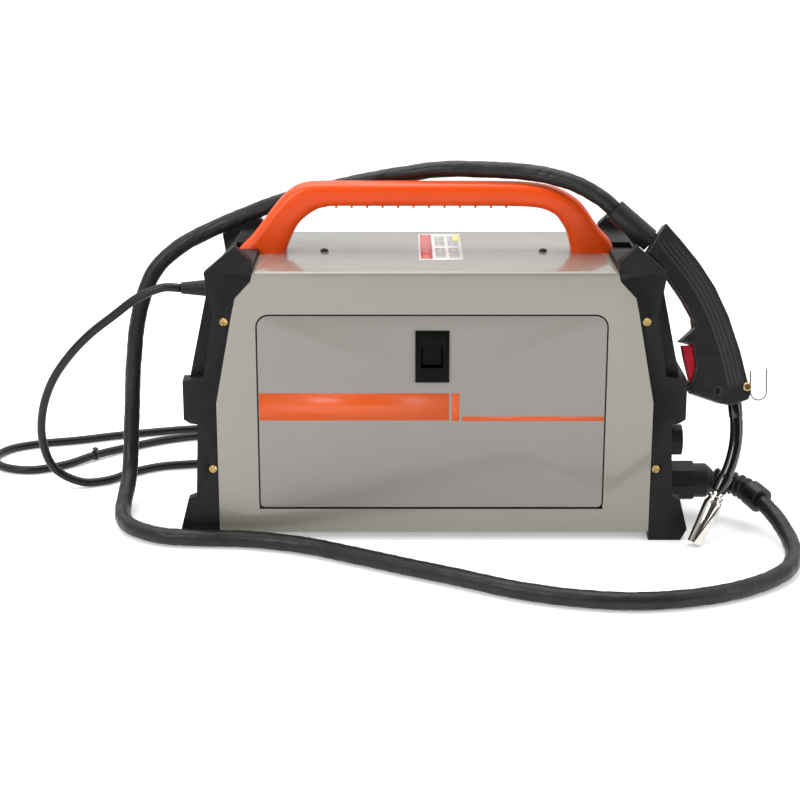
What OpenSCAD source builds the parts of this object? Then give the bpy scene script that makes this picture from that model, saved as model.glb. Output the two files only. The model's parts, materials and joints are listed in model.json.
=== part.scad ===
// MIG welding machine: a sheet steel case between two moulded bezels, with a wire
// feeder and power electronics inside, a fixed torch lead and torch, and a mains lead.
// +X points to the control end, -Y to the side with the door, +Z up. The origin is the
// middle of the underside of the base pan. All sizes are in millimetres.

/* [Case] */
// Width of the case across Y
case_w = 200; // [196:1:204]
// Height of the top cover above the underside of the base pan
case_h = 258; // [256:1:260]
// Length over the feet of the two bezels
case_l = 489; // [485:1:495]
// Thickness of the cover, pan and partition sheet
sheet_t = 1.5; // [1:0.1:2]
// Height of the base pan's underside above the floor
foot_h = 7; // [5:1:9]
// Thickness of the bezels' side cheeks
cheek_t = 12; // [10:1:14]
// Bend radius of the cover's long edges
fold_r = 4; // [3:1:6]

/* [Door] */
// Left edge of the door along X
door_x0 = -167; // [-170:1:-164]
// Right edge of the door along X
door_x1 = 161; // [158:1:164]
// Bottom edge of the door
door_z0 = 27; // [26:1:28]
// Top edge of the door
door_z1 = 216; // [212:1:218]
// Corner radius of the door
door_r = 11; // [8:1:14]
// Gap all round the door
door_gap = 1.5; // [1:0.1:2]
// Thickness of the door sheet
door_t = 1.2; // [1:0.1:1.2]

/* [Carrying handle] */
// Width of the handle across Y
handle_w = 30; // [26:1:32]
// Height of the top of the handle above the pan
handle_top = 326; // [322:1:326]
// Thickness of the hand grip
grip_t = 23; // [20:1:24]

/* [Wire feeder] */
// Radius of the two feed rolls
roll_r = 14.85; // [14:0.05:14.85]
// Tilt of the feeder's wire line below the horizontal
feed_tilt = 13.9; // [13:0.1:15]
// Outer radius of the wire spool
spool_r = 50; // [46:1:52]
// Width of the wire spool
spool_w = 45; // [40:1:45]

/* [Front and rear fittings] */
// Radius of the control knobs
knob_r = 13; // [11:1:14]
// Radius of the bore that takes a cable plug
socket_bore_r = 4.55; // [4.5:0.05:5]
// Outer radius of the output sockets
socket_r = 15; // [14:1:16]
// Side of the square cooling fan
fan_side = 92; // [90:1:92]

/* [Torch] */
// Thickness of the torch handle
torch_t = 29; // [26:1:30]
// Lean of the torch out of the vertical, towards the door side
torch_lean = 15.64; // [15:0.01:16]
// Bend radius of the swan neck
neck_bend = 110; // [105:1:115]
// Radius of the swan neck
neck_r = 6.25; // [6:0.05:6.5]

/* [Leads] */
// Diameter of the torch lead
torch_lead_d = 17; // [16:0.5:17]
// Diameter of the mains lead
mains_d = 9; // [8:0.5:9]
// Radius of the middle of the mains lead's coil
coil_r = 50; // [46:1:52]

/* [Hidden] */
$fn = 48;

half_w = case_w / 2;
floor_z = -foot_h;
side_in = half_w - sheet_t;       // inner face of the cover's sides
seam_x = case_l / 2 - 37;         // where the sheet meets the bezel, low down
seam_gap = 0.3;
top_in = case_h - sheet_t;

// the seam between the sheet side and the bezel, from the bottom up
seam = [[seam_x, 0], [seam_x, 131], [seam_x - 16, 215], [seam_x - 20, 233],
        [seam_x - 35, 249], [seam_x - 37, case_h]];

// the free edge of a bezel cheek, from the peak down to the foot
cheek_edge = [[seam_x - 37, 267], [seam_x - 21, 282], [seam_x + 8, 257], [seam_x + 5, 237],
              [seam_x + 1, 217], [seam_x + 11, 157], [seam_x + 31, 153],
              [seam_x + 31, 115], [seam_x + 25, 111], [seam_x + 18, 110], [seam_x + 21, 38],
              [seam_x + 29, 35], [seam_x + 37, 4], [seam_x + 31, floor_z],
              [seam_x, floor_z]];

// the tilted control panel between the rails
panel_x = seam_x + 6;
panel_z = 194;
panel_tilt = 12.3;
panel_w = 139;
panel_h = 74;
rail_proud = 10;
rail_w = 10;                      // width of the rear bezel's two rails
lower_x = seam_x + 18.5;          // front face of the connector end
bezel_top = 263;
wall = 3;

screw_spots = [[seam_x - 9.5, 210.5], [seam_x + 4.5, 65.6]];
top_screw_x = 107;
handle_bolts = [-163, -150, 142, 160];

// door hinge axis and latch
hinge_y = -half_w + 5;
hinge_z = door_z0 + 4;
hinge_r = 2;
lug_t = 2;
latch_x = [-18.6, 13.3];
latch_z = [152, 202];
pocket_x = [-13.3, 7.5];
pocket_z = [166, 188];
paddle_y = -half_w + 6.3;
paddle_z = pocket_z[1] - 4;

partition_y = 4;

// wire feeder: the nip is the feeder's own origin
feed_x = 95;
feed_y = -30;
feed_z = 62;
roll_at = roll_r + 0.15;          // each roll's axis from the wire line
plate_y = -18;
plate_t = 6;
shaft_r = 4;
run_fit = 0.06;
arm_pivot = [-32, 12];

spool_x = -95;
spool_z = 140;
spool_y = -60;
spindle_r = 7.9;

fan_y = 28;
fan_z = 62;
fan_r = 43;
rear_x = -seam_x - 5.5;           // outer face of the rear panel
switch_y = -45;
switch_z = 190;
mains_y = 10;
mains_z = 218;
gas_y = 66;
gas_z = 126;

socket_y = 55;
socket_z = 81;
gland_y = -30;
gland_z = 30.4;

// the torch lies in one plane, which leans towards the door side
torch_y = -36;
torch_z = 278;
sleeve_dir = -41;
sleeve_from = [172.5, 26.8];
sleeve_len = 47;
neck_from = [288, -157];
neck_turn0 = 6;
neck_turn1 = -25;
neck_lead_in = 14;
trigger_pivot = [252, -108];
hook_at = [297, -143];

function torch_point(x, s) =
    [x, torch_y + s * sin(torch_lean), torch_z + s * cos(torch_lean)];

// torch lead: out of the boot, along the floor, up the rear end, over the handle
lead_z = floor_z + torch_lead_d / 2;
boot_route = [[277.6, -30, 30.4], [289, -30, 30.4], [303, -38, 28], [314, -52, 25], [322, -66, 21]];
torch_route = concat(
    [[322, -66, 21], [333, -95, 12], [338, -133, 3.5], [333, -170, lead_z],
     [316, -206, lead_z], [280, -239, lead_z], [232, -262, lead_z], [177, -272, lead_z],
     [122, -265, lead_z], [70, -246, lead_z], [22, -218, lead_z], [-28, -190, lead_z],
     [-76, -162, lead_z], [-124, -136, lead_z], [-178, -120, lead_z], [-234, -116, lead_z],
     [-267, -108, lead_z], [-298, -81, lead_z], [-310, -40, lead_z], [-310, 14, 24], [-309, 38, 78],
     [-306, 44, 130], [-299, 50, 182], [-283, 54, 224], [-256, 58, 250], [-222, 60, 268],
     [-188, 56, 283], [-150, 44, 299], [-108, 32, 312], [-68, 26, 322], [-30, 24, 329],
     [7, 15, 335.5], [46, 8, 336.5], [86, 0, 335.5], [112, -8, 332.5], [137, -17, 326]],
    [torch_point(160.4, 37.3), torch_point(172.5, 26.8)]);

// mains lead: out of the rear gland, down to the floor, round a loop, into the coil
mains_floor = floor_z + mains_d / 2;
coil_at = [-110, 215];
mains_route = [
    [-250, 10, 218], [-270, 10, 218], [-295, 12, 207], [-320, 16, 188], [-345, 21, 168],
    [-368, 28, 144], [-389, 36, 114], [-402, 44, 80], [-405, 50, 46], [-395, 53, 15],
    [-368, 55, mains_floor + 1.8], [-341, 66, mains_floor], [-320, 91, mains_floor],
    [-290, 112, mains_floor], [-250, 122, mains_floor], [-213, 138, mains_floor],
    [-193, 171, mains_floor], [-204, 207, mains_floor], [-242, 224, mains_floor],
    [-290, 210, mains_floor], [-332, 182, mains_floor], [-368, 147, mains_floor + 1.3],
    [-396, 117, mains_floor], [-430, 99, mains_floor], [-463, 111, mains_floor],
    [-477, 143, mains_floor], [-465, 174, mains_floor], [-434, 193, mains_floor],
    [-396, 205, mains_floor], [-350, 224, mains_floor], [-290, 243, mains_floor],
    [-225, 256, mains_floor], [-158, 263, mains_floor]];
tail_route = [[-62, 265, 12], [-48, 265, 12], [-35, 265, 12]];
tie_at = [-368, 147, mains_floor + 1.3];
plug_r = 19;

// ---------- curves and tubes ----------

function unit(v) = v / norm(v);

function spline_point(a, b, c, d, t) =
    (2 * b + (c - a) * t + (2 * a - 5 * b + 4 * c - d) * t * t
     + (3 * b - a - 3 * c + d) * t * t * t) / 2;

// a smooth curve through the route's points, with n steps between two of them
function smooth(route, n) =
    let (last = len(route) - 1)
    concat(
        [for (i = [0:last - 1], k = [0:n - 1])
            spline_point(i > 0 ? route[i - 1] : 2 * route[0] - route[1],
                         route[i], route[i + 1],
                         i + 2 <= last ? route[i + 2] : 2 * route[last] - route[last - 1],
                         k / n)],
        [route[last]]);

function tangent(p, i) =
    let (last = len(p) - 1)
    unit(p[min(i + 1, last)] - p[max(i - 1, 0)]);

// one normal for each point, carried along without twist
function normals(p) =
    [for (i = 0, n = unit(cross(tangent(p, 0), [0.3, 0.2, 1]));
          i < len(p);
          i = i + 1, n = let (t = tangent(p, min(i, len(p) - 1))) unit(n - t * (n * t)))
        n];

module tube(points, radii, sides) {
    n = normals(points);
    rings = len(points);
    verts = [for (i = [0:rings - 1])
        let (t = tangent(points, i), u = unit(n[i] - t * (n[i] * t)), v = cross(t, u))
        for (k = [0:sides - 1])
            points[i] + radii[i] * (cos(k * 360 / sides) * u + sin(k * 360 / sides) * v)];
    skin = [for (i = [0:rings - 2], k = [0:sides - 1])
        let (a = i * sides + k, b = i * sides + (k + 1) % sides)
        each [[a, b, b + sides], [a, b + sides, a + sides]]];
    first = [for (k = [1:sides - 2]) [0, k + 1, k]];
    end = (rings - 1) * sides;
    last = [for (k = [1:sides - 2]) [end, end + k, end + k + 1]];
    polyhedron(points = verts, faces = [for (f = concat(skin, first, last)) [f[0], f[2], f[1]]],
               convexity = 10);
}

module lead(route, steps, d, sides) {
    points = smooth(route, steps);
    tube(points, [for (p = points) d / 2], sides);
}

// ---------- small shared shapes ----------

// extrudes an outline drawn in X and Z across Y, from y0 to y1
module across(y0, y1) {
    translate([0, y1, 0]) rotate([90, 0, 0]) linear_extrude(y1 - y0) children();
}

// extrudes an outline drawn in Y and Z along X, from x0 to x1
module along(x0, x1) {
    translate([x0, 0, 0]) rotate([90, 0, 90]) linear_extrude(x1 - x0) children();
}

module box(x, y, z) {
    translate([x[0], y[0], z[0]]) cube([x[1] - x[0], y[1] - y[0], z[1] - z[0]]);
}

// a round bar or hole along X, Y or Z
module rod_x(x0, x1, r) {
    translate([x0, 0, 0]) rotate([0, 90, 0]) cylinder(h = x1 - x0, r = r);
}

module rod_y(y0, y1, r) {
    translate([0, y1, 0]) rotate([90, 0, 0]) cylinder(h = y1 - y0, r = r);
}

module rounded(x, z, r) {
    translate([x[0] + r, z[0]]) square([x[1] - x[0] - 2 * r, z[1] - z[0]]);
    translate([x[0], z[0] + r]) square([x[1] - x[0], z[1] - z[0] - 2 * r]);
    for (cx = [x[0] + r, x[1] - r], cz = [z[0] + r, z[1] - r]) translate([cx, cz]) circle(r);
}

module on_panel() {
    translate([panel_x, 0, panel_z]) rotate([0, -panel_tilt, 0]) children();
}

module on_feeder() {
    translate([feed_x, 0, feed_z]) rotate([0, feed_tilt, 0]) children();
}

module on_torch() {
    translate([0, torch_y, torch_z]) rotate([-torch_lean, 0, 0]) children();
}

module both_sides() {
    children();
    mirror([0, 1, 0]) children();
}

module pan_head(r, h) {
    difference() {
        union() {
            cylinder(h = h * 0.5, r = r);
            translate([0, 0, h * 0.5]) cylinder(h = h * 0.5, r1 = r, r2 = r * 0.7);
        }
        for (a = [0, 90]) rotate(a) translate([-r * 0.55, -0.6, h * 0.45]) cube([r * 1.1, 1.2, h]);
    }
}

// ---------- case ----------

// the side view of the sheet cover, between the two seams
module cover_side_view() {
    low = 2;
    right = [for (p = seam) [p[0] - seam_gap, max(p[1], low)]];
    left = [for (i = [len(seam) - 1:-1:0]) [-seam[i][0] + seam_gap, max(seam[i][1], low)]];
    polygon(concat(right, left));
}

module cover_section() {
    translate([-half_w, 0]) square([case_w, case_h - fold_r]);
    translate([-half_w + fold_r, 0]) square([case_w - 2 * fold_r, case_h]);
    for (s = [-1, 1]) translate([s * (half_w - fold_r), case_h - fold_r]) circle(fold_r);
}

module cover_hollow() {
    r = fold_r - sheet_t;
    translate([-side_in, -5]) square([2 * side_in, top_in + 5 - r]);
    translate([-side_in + r, -5]) square([2 * (side_in - r), top_in + 5]);
    for (s = [-1, 1]) translate([s * (side_in - r), top_in - r]) circle(r);
}

module door_outline(grow) {
    rounded([door_x0 - grow, door_x1 + grow], [door_z0 - grow, door_z1 + grow], door_r + grow);
}

module top_cover() {
    slot_l = 46;
    slot_r = 2;
    color("#b9b6ab") {
        difference() {
            intersection() {
                along(-seam_x, seam_x) difference() {
                    cover_section();
                    cover_hollow();
                }
                across(-half_w, half_w) cover_side_view();
            }
            across(-half_w - 1, -side_in + 1) {
                door_outline(door_gap);
                // more room below the door and at its lower corners, where its edge swings in
                translate([door_x0 - door_gap, door_z0 - door_gap - 0.7])
                    square([door_x1 - door_x0 + 2 * door_gap, 14]);
            }
            for (s = [-1, 1]) translate([s * top_screw_x, -3, top_in - 1])
                cylinder(h = 5, r = 2.2);
            for (x = handle_bolts) translate([x, 0, top_in - 1]) cylinder(h = 5, r = 2.7);
            for (column = [-120, -55, 10, 75], row = [0:7]) {
                translate([column, 0, 60 + row * 14]) across(side_in - 1, half_w + 1)
                    rounded([0, slot_l], [0, 2 * slot_r], slot_r - 0.01);
            }
        }
        // the pressed step that the door closes against
        across(-side_in, -side_in + sheet_t) difference() {
            door_outline(6);
            door_outline(-7);
            translate([door_x0 - 10, 0]) square([door_x1 - door_x0 + 20, hinge_z + 7]);
        }
    }
}

module base_pan() {
    half_l = seam_x - 1.5;
    flange_h = 14;
    color("#8f8f8c") {
        difference() {
            union() {
                box([-half_l, half_l], [-side_in + 0.5, side_in - 0.5], [0, sheet_t]);
                both_sides() box([-half_l, half_l], [side_in - 0.5 - sheet_t, side_in - 0.5],
                                 [sheet_t, flange_h]);
                for (s = [-1, 1]) box([s * half_l - (s + 1) / 2 * sheet_t,
                                       s * half_l + (1 - s) / 2 * sheet_t],
                                      [-side_in + 2, side_in - 2], [sheet_t, flange_h]);
            }
            for (x = [-60:20:60]) translate([x, 50, -1]) cylinder(h = 5, r = 4);
        }
        // the two ears that hold the door's hinge pins
        for (x = [door_x0 - 3, door_x1 + 1]) difference() {
            box([x, x + lug_t], [-side_in + 0.5, -half_w + 10], [sheet_t, hinge_z + 5]);
            translate([0, hinge_y, hinge_z]) rod_x(x - 1, x + lug_t + 1, hinge_r + 0.02);
        }
    }
}

// the side cheek of a bezel, with its peak and its foot
module cheek() {
    across(half_w - cheek_t, half_w) polygon(concat(seam, cheek_edge));
}

// the bridge over the top, between the two cheeks
module bezel_bridge() {
    edge = half_w - cheek_t;
    across(-edge, edge) polygon([
        [seam_x - 37, bezel_top], [seam_x - 12.5, bezel_top], [seam_x, 246],
        [seam_x + 7.2, 237], [seam_x + 7.2, 233.5], [seam_x - 2.5, 233.5],
        [seam_x - 5, 240], [seam_x - 16, 255], [seam_x - 37, 255]]);
}

module bezel_shell() {
    edge = half_w - cheek_t;
    difference() {
        union() {
            both_sides() cheek();
            bezel_bridge();
            box([seam_x + 0.5, lower_x], [-edge, edge], [0, wall]);
        }
        // the handle's base stands in this notch
        box([seam_x - 40, seam_x - 13.5], [-handle_w / 2 - 1.5, handle_w / 2 + 1.5],
            [case_h, bezel_top + 1]);
        both_sides() for (p = screw_spots)
            translate([p[0], 0, p[1]]) rod_y(half_w - cheek_t - 1, half_w + 1, 2.2);
    }
}

module front_bezel() {
    edge = half_w - cheek_t;
    color("#1d1d1e") {
        bezel_shell();
        // rails beside the control panel
        on_panel() difference() {
            box([-wall, rail_proud], [-edge, edge], [-panel_h / 2 - 7, panel_h / 2 + 4]);
            box([-wall - 1, rail_proud + 1], [-panel_w / 2 - 0.3, panel_w / 2 + 0.3],
                [-panel_h / 2 - 0.3, panel_h / 2 + 0.3]);
        }
        // hollow block across the middle
        difference() {
            box([seam_x - 2, seam_x + 31.5], [-edge, edge], [110.5, 153]);
            box([seam_x - 3, seam_x + 31.5 - wall], [-edge + wall, edge - wall],
                [110.5 + wall, 153 - wall]);
        }
        // frame round the connector panel
        difference() {
            box([lower_x - wall, lower_x], [-edge, edge], [wall, 110.5]);
            box([lower_x - wall - 1, lower_x + 1], [-74, 74], [8, 105]);
        }
    }
}

module rear_bezel() {
    edge = half_w - cheek_t;
    color("#1d1d1e") mirror([1, 0, 0]) {
        bezel_shell();
        both_sides() on_panel()
            box([-wall, rail_proud], [edge - rail_w, edge], [-panel_h / 2 - 7, panel_h / 2 + 4]);
        both_sides() box([lower_x - wall, lower_x], [edge - rail_w, edge], [wall, 110.5]);
        both_sides() box([seam_x + 8, seam_x + 31.5], [edge - rail_w, edge], [110.5, 153]);
    }
}

module control_panel() {
    color("#2a2a2c") on_panel() difference() {
        box([-2, 0], [-panel_w / 2, panel_w / 2], [-panel_h / 2, panel_h / 2]);
        box([-3, 1], [-30, 30], [8, 28]);
        for (y = [-42, 42]) translate([0, y, -12]) rod_x(-3, 1, 3.3);
        translate([0, 0, -14]) rod_x(-3, 1, 3.3);
        for (y = [-54, -44, 44, 54]) translate([0, y, 22]) rod_x(-3, 1, 2.2);
    }
}

module display_window() {
    color("#301014") on_panel() {
        box([-2, 0.5], [-29.8, 29.8], [8.2, 27.8]);
        for (y = [-54, -44, 44, 54]) translate([0, y, 22]) rod_x(-2, 0.8, 2);
    }
}

module connector_panel() {
    color("#2a2a2c") difference() {
        box([lower_x - wall - 2, lower_x - wall], [-80, 80], [4, 109]);
        translate([0, gland_y, gland_z]) rod_x(lower_x - 9, lower_x, 12.2);
        for (y = [-socket_y, socket_y]) translate([0, y, socket_z])
            rod_x(lower_x - 9, lower_x, 10.2);
    }
}

module rear_panel() {
    edge = half_w - cheek_t - rail_w - 0.3;
    color("#b0ada3") difference() {
        box([rear_x, rear_x + sheet_t], [-edge, edge], [wall, 232]);
        translate([0, fan_y, fan_z]) rod_x(rear_x - 1, rear_x + 3, fan_r);
        translate([0, mains_y, mains_z]) rod_x(rear_x - 1, rear_x + 3, 8.2);
        translate([0, gas_y, gas_z]) rod_x(rear_x - 1, rear_x + 3, 6.2);
        box([rear_x - 1, rear_x + 3], [switch_y - 14, switch_y + 14], [switch_z - 11, switch_z + 11]);
        for (y = [-75:12:-27]) box([rear_x - 1, rear_x + 3], [y, y + 6], [30, 90]);
    }
}

module partition() {
    half_l = seam_x - 16;
    axis = [feed_x - roll_at * sin(feed_tilt), feed_z - roll_at * cos(feed_tilt)];
    color("#a8a8a5") {
        difference() {
            box([-half_l + 8, half_l], [partition_y, partition_y + sheet_t], [sheet_t, top_in - 20]);
            translate([axis[0], 0, axis[1]]) rod_y(partition_y - 1, partition_y + 3, 7);
            // a step in the front edge, round the control board
            box([half_l - 9, half_l + 1], [partition_y - 1, partition_y + 3], [175, top_in]);
        }
        box([-half_l + 8, half_l], [partition_y - 12, partition_y], [sheet_t, 2 * sheet_t]);
    }
}

module carry_handle() {
    grip_in = handle_top - grip_t;
    outer = [[-192, case_h], [-168, 286], [-155, 303], [-142, 318], [-130, handle_top],
             [84, handle_top], [108, handle_top - 2.4], [126, handle_top - 8], [141, 310],
             [150, 299], [156, 288.5], [162, 281], [170, 273], [175.5, 265], [176, case_h]];
    inner = [[134, case_h], [132.4, 269], [128.7, 278.5], [121, 292], [111, 299.5],
             [96, grip_in], [-101, grip_in], [-118, 297], [-131, 285], [-144, case_h]];
    chamfer = 5;
    color("#f4641e") difference() {
        intersection() {
            across(-handle_w / 2, handle_w / 2) polygon(concat(outer, inner));
            along(-200, 200) polygon([
                [-handle_w / 2, case_h], [handle_w / 2, case_h],
                [handle_w / 2, handle_top - chamfer], [handle_w / 2 - chamfer, handle_top],
                [-handle_w / 2 + chamfer, handle_top], [-handle_w / 2, handle_top - chamfer]]);
        }
        for (x = handle_bolts) translate([x, 0, case_h - 1]) cylinder(h = 13, r = 2.5);
    }
}

module bezel_screws() {
    color("#c9b26a") for (end = [0, 1]) mirror([end, 0, 0]) both_sides()
        for (p = screw_spots) translate([p[0], half_w, p[1]]) {
            rotate([-90, 0, 0]) pan_head(4, 2.4);
            rod_y(-8, 0, 2);
        }
}

module cover_screws() {
    color("#2c2c2c") {
        for (s = [-1, 1]) translate([s * top_screw_x, -3, case_h]) {
            pan_head(4, 2.2);
            translate([0, 0, -6]) cylinder(h = 6, r = 2);
        }
        for (x = handle_bolts) translate([x, 0, top_in]) {
            cylinder(h = 13, r = 2.4);
            translate([0, 0, -3]) cylinder(h = 3, r = 4.5);
        }
    }
}

// ---------- door ----------

module door_panel() {
    inner = -half_w + door_t;
    color("#a9a6a2") {
        difference() {
            across(-half_w, inner) door_outline(0);
            across(-half_w - 1, inner + 1)
                translate([latch_x[0] + 2.3, latch_z[0] + 2.7]) square([27.3, 44.6]);
        }
        for (x = [door_x0 + 9, door_x1 - 11]) difference() {
            box([x, x + lug_t], [inner, hinge_y + 4], [hinge_z - 3.5, hinge_z + 4]);
            translate([0, hinge_y, hinge_z]) rod_x(x - 1, x + lug_t + 1, hinge_r + 0.06);
        }
    }
}

module hinge_pins() {
    color("#c8c8c8") translate([0, hinge_y, hinge_z]) {
        rod_x(door_x0 - 3, door_x0 + 13, hinge_r);
        rod_x(door_x1 - 13, door_x1 + 3, hinge_r);
    }
}

module latch_frame() {
    face = -half_w - 1.5;
    back = -half_w + 16;
    color("#19191a") difference() {
        union() {
            box(latch_x, [face, -half_w], latch_z);
            box([latch_x[0] + 2.5, latch_x[0] + 29.4], [-half_w, back], [latch_z[0] + 3, latch_z[1] - 3]);
        }
        box(pocket_x, [face - 1, back - 1.5], pocket_z);
        translate([0, paddle_y, paddle_z]) rod_x(pocket_x[0] - 1.6, pocket_x[1] + 1.6, 1.26);
    }
}

module latch_paddle() {
    color("#0f0f10") {
        box([pocket_x[0] + 0.4, pocket_x[1] - 0.4], [paddle_y - 1.5, paddle_y + 1.5],
            [pocket_z[0] + 0.6, pocket_z[1] - 0.8]);
        translate([0, paddle_y, paddle_z]) rod_x(pocket_x[0] - 1.3, pocket_x[1] + 1.3, 1.2);
    }
}

// ---------- electronics ----------

board_x = [-165, 55];
board_z = 40;

module power_board() {
    color("#2f6b3c") {
        box(board_x, [12, 94], [board_z, board_z + 1.6]);
        for (x = [board_x[0] + 8, board_x[1] - 8], y = [20, 86])
            translate([x, y, sheet_t]) cylinder(h = board_z - sheet_t, r = 3);
    }
}

module heatsinks() {
    fins = 6;
    color("#c4c6c9") for (y = [18, 56]) {
        box([-155, -60], [y, y + 32], [board_z + 1.6, board_z + 7]);
        for (i = [0:fins - 1]) box([-155, -60], [y + i * 6, y + i * 6 + 2], [board_z + 7, 108]);
    }
}

module transformer() {
    color("#7a4a2a") {
        box([-45, -35], [24, 84], [board_z + 1.6, 96]);
        box([-35, 0], [24, 84], [board_z + 1.6, 52]);
        box([-35, 0], [24, 84], [86, 96]);
        box([0, 10], [24, 84], [board_z + 1.6, 96]);
        box([-34.5, -0.5], [32, 76], [52.2, 85.8]);
    }
}

module capacitors() {
    color("#26324a") for (x = [24, 46], y = [28, 53, 78])
        translate([x, y, board_z + 1.6]) cylinder(h = 42, r = 10);
}

module control_board() {
    color("#2f6b3c") on_panel() {
        box([-22, -20.4], [-62, 62], [-29, 34]);
        for (y = [-42, 42]) translate([0, y, -12]) pot();
        translate([0, 0, -14]) pot();
        for (y = [-56, 56]) translate([0, y, 31]) rod_x(-20.4, -2, 2.5);
    }
}

// the potentiometer behind a knob
module pot() {
    difference() {
        rod_x(-20.4, -5, 7.5);
        rod_x(-16, -4, 3 + run_fit);
    }
}

module knob(r, h) {
    shaft_end = -14;
    rod_x(shaft_end, 1.5, 3);
    rod_x(1.2, h - 1, r);
    rod_x(h - 1, h, r - 0.8);
    box([h - 0.5, h + 0.6], [-0.8, 0.8], [r * 0.2, r - 1.5]);
}

module current_knob() {
    color("#161617") on_panel() translate([0, -42, -12]) knob(knob_r, 9);
}

module wire_speed_knob() {
    color("#161617") on_panel() translate([0, 42, -12]) knob(knob_r, 9);
}

module mode_switch() {
    color("#b33a1c") on_panel() translate([0, 0, -14]) knob(knob_r * 0.65, 8);
}

// ---------- rear end ----------

fan_in = rear_x + sheet_t;
fan_depth = 25;

module fan_frame() {
    half = fan_side / 2;
    color("#1b1b1c") translate([0, fan_y, fan_z]) {
        difference() {
            box([fan_in, fan_in + fan_depth], [-half, half], [-half, half]);
            rod_x(fan_in - 1, fan_in + fan_depth + 1, fan_r);
        }
        // four spokes carry the bearing post
        difference() {
            for (a = [45:90:315]) rotate([a, 0, 0])
                box([fan_in + fan_depth - 4, fan_in + fan_depth], [0, fan_r + 1], [-2, 2]);
            rod_x(fan_in, fan_in + fan_depth + 1, 5);
        }
        rod_x(fan_in + fan_depth - 4, fan_in + fan_depth, 14);
        rod_x(fan_in + 4, fan_in + fan_depth - 4, 2);
    }
}

module fan_rotor() {
    blades = 7;
    color("#303033") translate([0, fan_y, fan_z]) difference() {
        union() {
            rod_x(fan_in + 3, fan_in + fan_depth - 5, 17);
            for (i = [0:blades - 1]) rotate([i * 360 / blades, 0, 0]) intersection() {
                translate([fan_in + 10, 0, 27]) rotate([0, 0, 42])
                    cube([1.8, 17, 28], center = true);
                rod_x(fan_in + 2, fan_in + fan_depth - 5, fan_r - 2);
            }
        }
        rod_x(fan_in + 2, fan_in + fan_depth - 4, 2 + run_fit);
    }
}

module fan_guard() {
    wire = 1.1;
    color("#cfd2d6") translate([rear_x - 3.6, fan_y, fan_z]) {
        for (r = [12:9:48]) rotate([0, 90, 0]) rotate_extrude() translate([r, 0]) circle(wire);
        for (a = [45:90:315]) rotate([a, 0, 0]) {
            translate([2 * wire, 0, 10]) cylinder(h = 48, r = wire);
            translate([0, 0, 57]) rod_x(0.5, 3.6, 3);
        }
    }
}

module power_switch() {
    y = [switch_y - 13.8, switch_y + 13.8];
    z = [switch_z - 10.8, switch_z + 10.8];
    color("#161617") {
        difference() {
            union() {
                box([rear_x - 2, rear_x], [y[0] - 2.5, y[1] + 2.5], [z[0] - 2.5, z[1] + 2.5]);
                box([rear_x, rear_x + 20], y, z);
            }
            box([rear_x - 3, rear_x + 12], [y[0] + 2, y[1] - 2], [z[0] + 2, z[1] - 2]);
        }
        translate([rear_x + 3, switch_y, switch_z]) rod_y(-12, 12, 1.5);
    }
}

module power_rocker() {
    color("#c22d22") translate([rear_x + 3, switch_y, switch_z]) difference() {
        rod_ends = 11.2;
        across(-rod_ends, rod_ends) polygon([
            [3, -4], [3, 4], [-3, 7.8], [-5, 7.8], [-5, 0], [-7.5, -7], [-3, -7.8]]);
        rod_y(-12, 12, 1.5 + run_fit);
    }
}

module mains_gland() {
    color("#161617") translate([0, mains_y, mains_z]) difference() {
        union() {
            rod_x(rear_x - 10, rear_x + 8, 8);
            rotate([0, 90, 0]) translate([0, 0, rear_x - 10]) cylinder(h = 10, r = 12, $fn = 6);
            rotate([0, 90, 0]) translate([0, 0, rear_x + sheet_t]) cylinder(h = 5, r = 11, $fn = 6);
            translate([-250, 0, 0]) rotate([0, 90, 0]) cylinder(h = 250 + rear_x - 10, r1 = 5.8, r2 = 8.5);
        }
        rod_x(rear_x + 2, rear_x + 9, 4.6);
    }
}

module gas_inlet() {
    color("#c8a24a") translate([0, gas_y, gas_z]) difference() {
        union() {
            rod_x(rear_x - 12, rear_x + 14, 6);
            rotate([0, 90, 0]) translate([0, 0, rear_x - 6]) cylinder(h = 6, r = 11, $fn = 6);
            rod_x(rear_x - 32, rear_x - 12, 4);
        }
        rod_x(rear_x - 33, rear_x + 15, 2);
    }
}

module gas_valve() {
    color("#55585c") translate([rear_x + 14, gas_y, gas_z]) {
        box([0, 26], [-12, 12], [-12, 12]);
        translate([13, 0, 12]) cylinder(h = 26, r = 9);
    }
}

// ---------- wire feeder ----------

module feed_motor() {
    y0 = partition_y + sheet_t;
    color("#3a3c40") on_feeder() translate([0, 0, -roll_at]) difference() {
        union() {
            box([-24, 24], [y0, y0 + 20], [-24, 24]);
            rod_y(y0 + 20, y0 + 66, 21);
        }
        rod_y(y0 - 1, y0 + 14, shaft_r + run_fit);
    }
}

module feed_plate() {
    color("#b8bcc0") on_feeder() {
        difference() {
            across(plate_y, plate_y + plate_t) polygon([
                [-46, -32], [30, -32], [46, -16], [46, 22], [-20, 30], [-46, 30]]);
            translate([0, 0, -roll_at]) rod_y(plate_y - 1, plate_y + plate_t + 1, shaft_r + run_fit);
        }
        for (p = [[-40, -24], [26, -26], [40, 16], [-38, 24]]) translate([p[0], 0, p[1]])
            rod_y(plate_y + plate_t, partition_y, 4);
        translate([arm_pivot[0], 0, arm_pivot[1]]) rod_y(plate_y - 9, plate_y, 3);
    }
}

// the profile of a roll with its wire groove, turned round the axle
module roll(bore_r) {
    rotate([90, 0, 0]) rotate_extrude() polygon([
        [bore_r, -5], [roll_r, -5], [roll_r, -0.8], [roll_r - 1, 0], [roll_r, 0.8],
        [roll_r, 5], [bore_r, 5]]);
}

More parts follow.
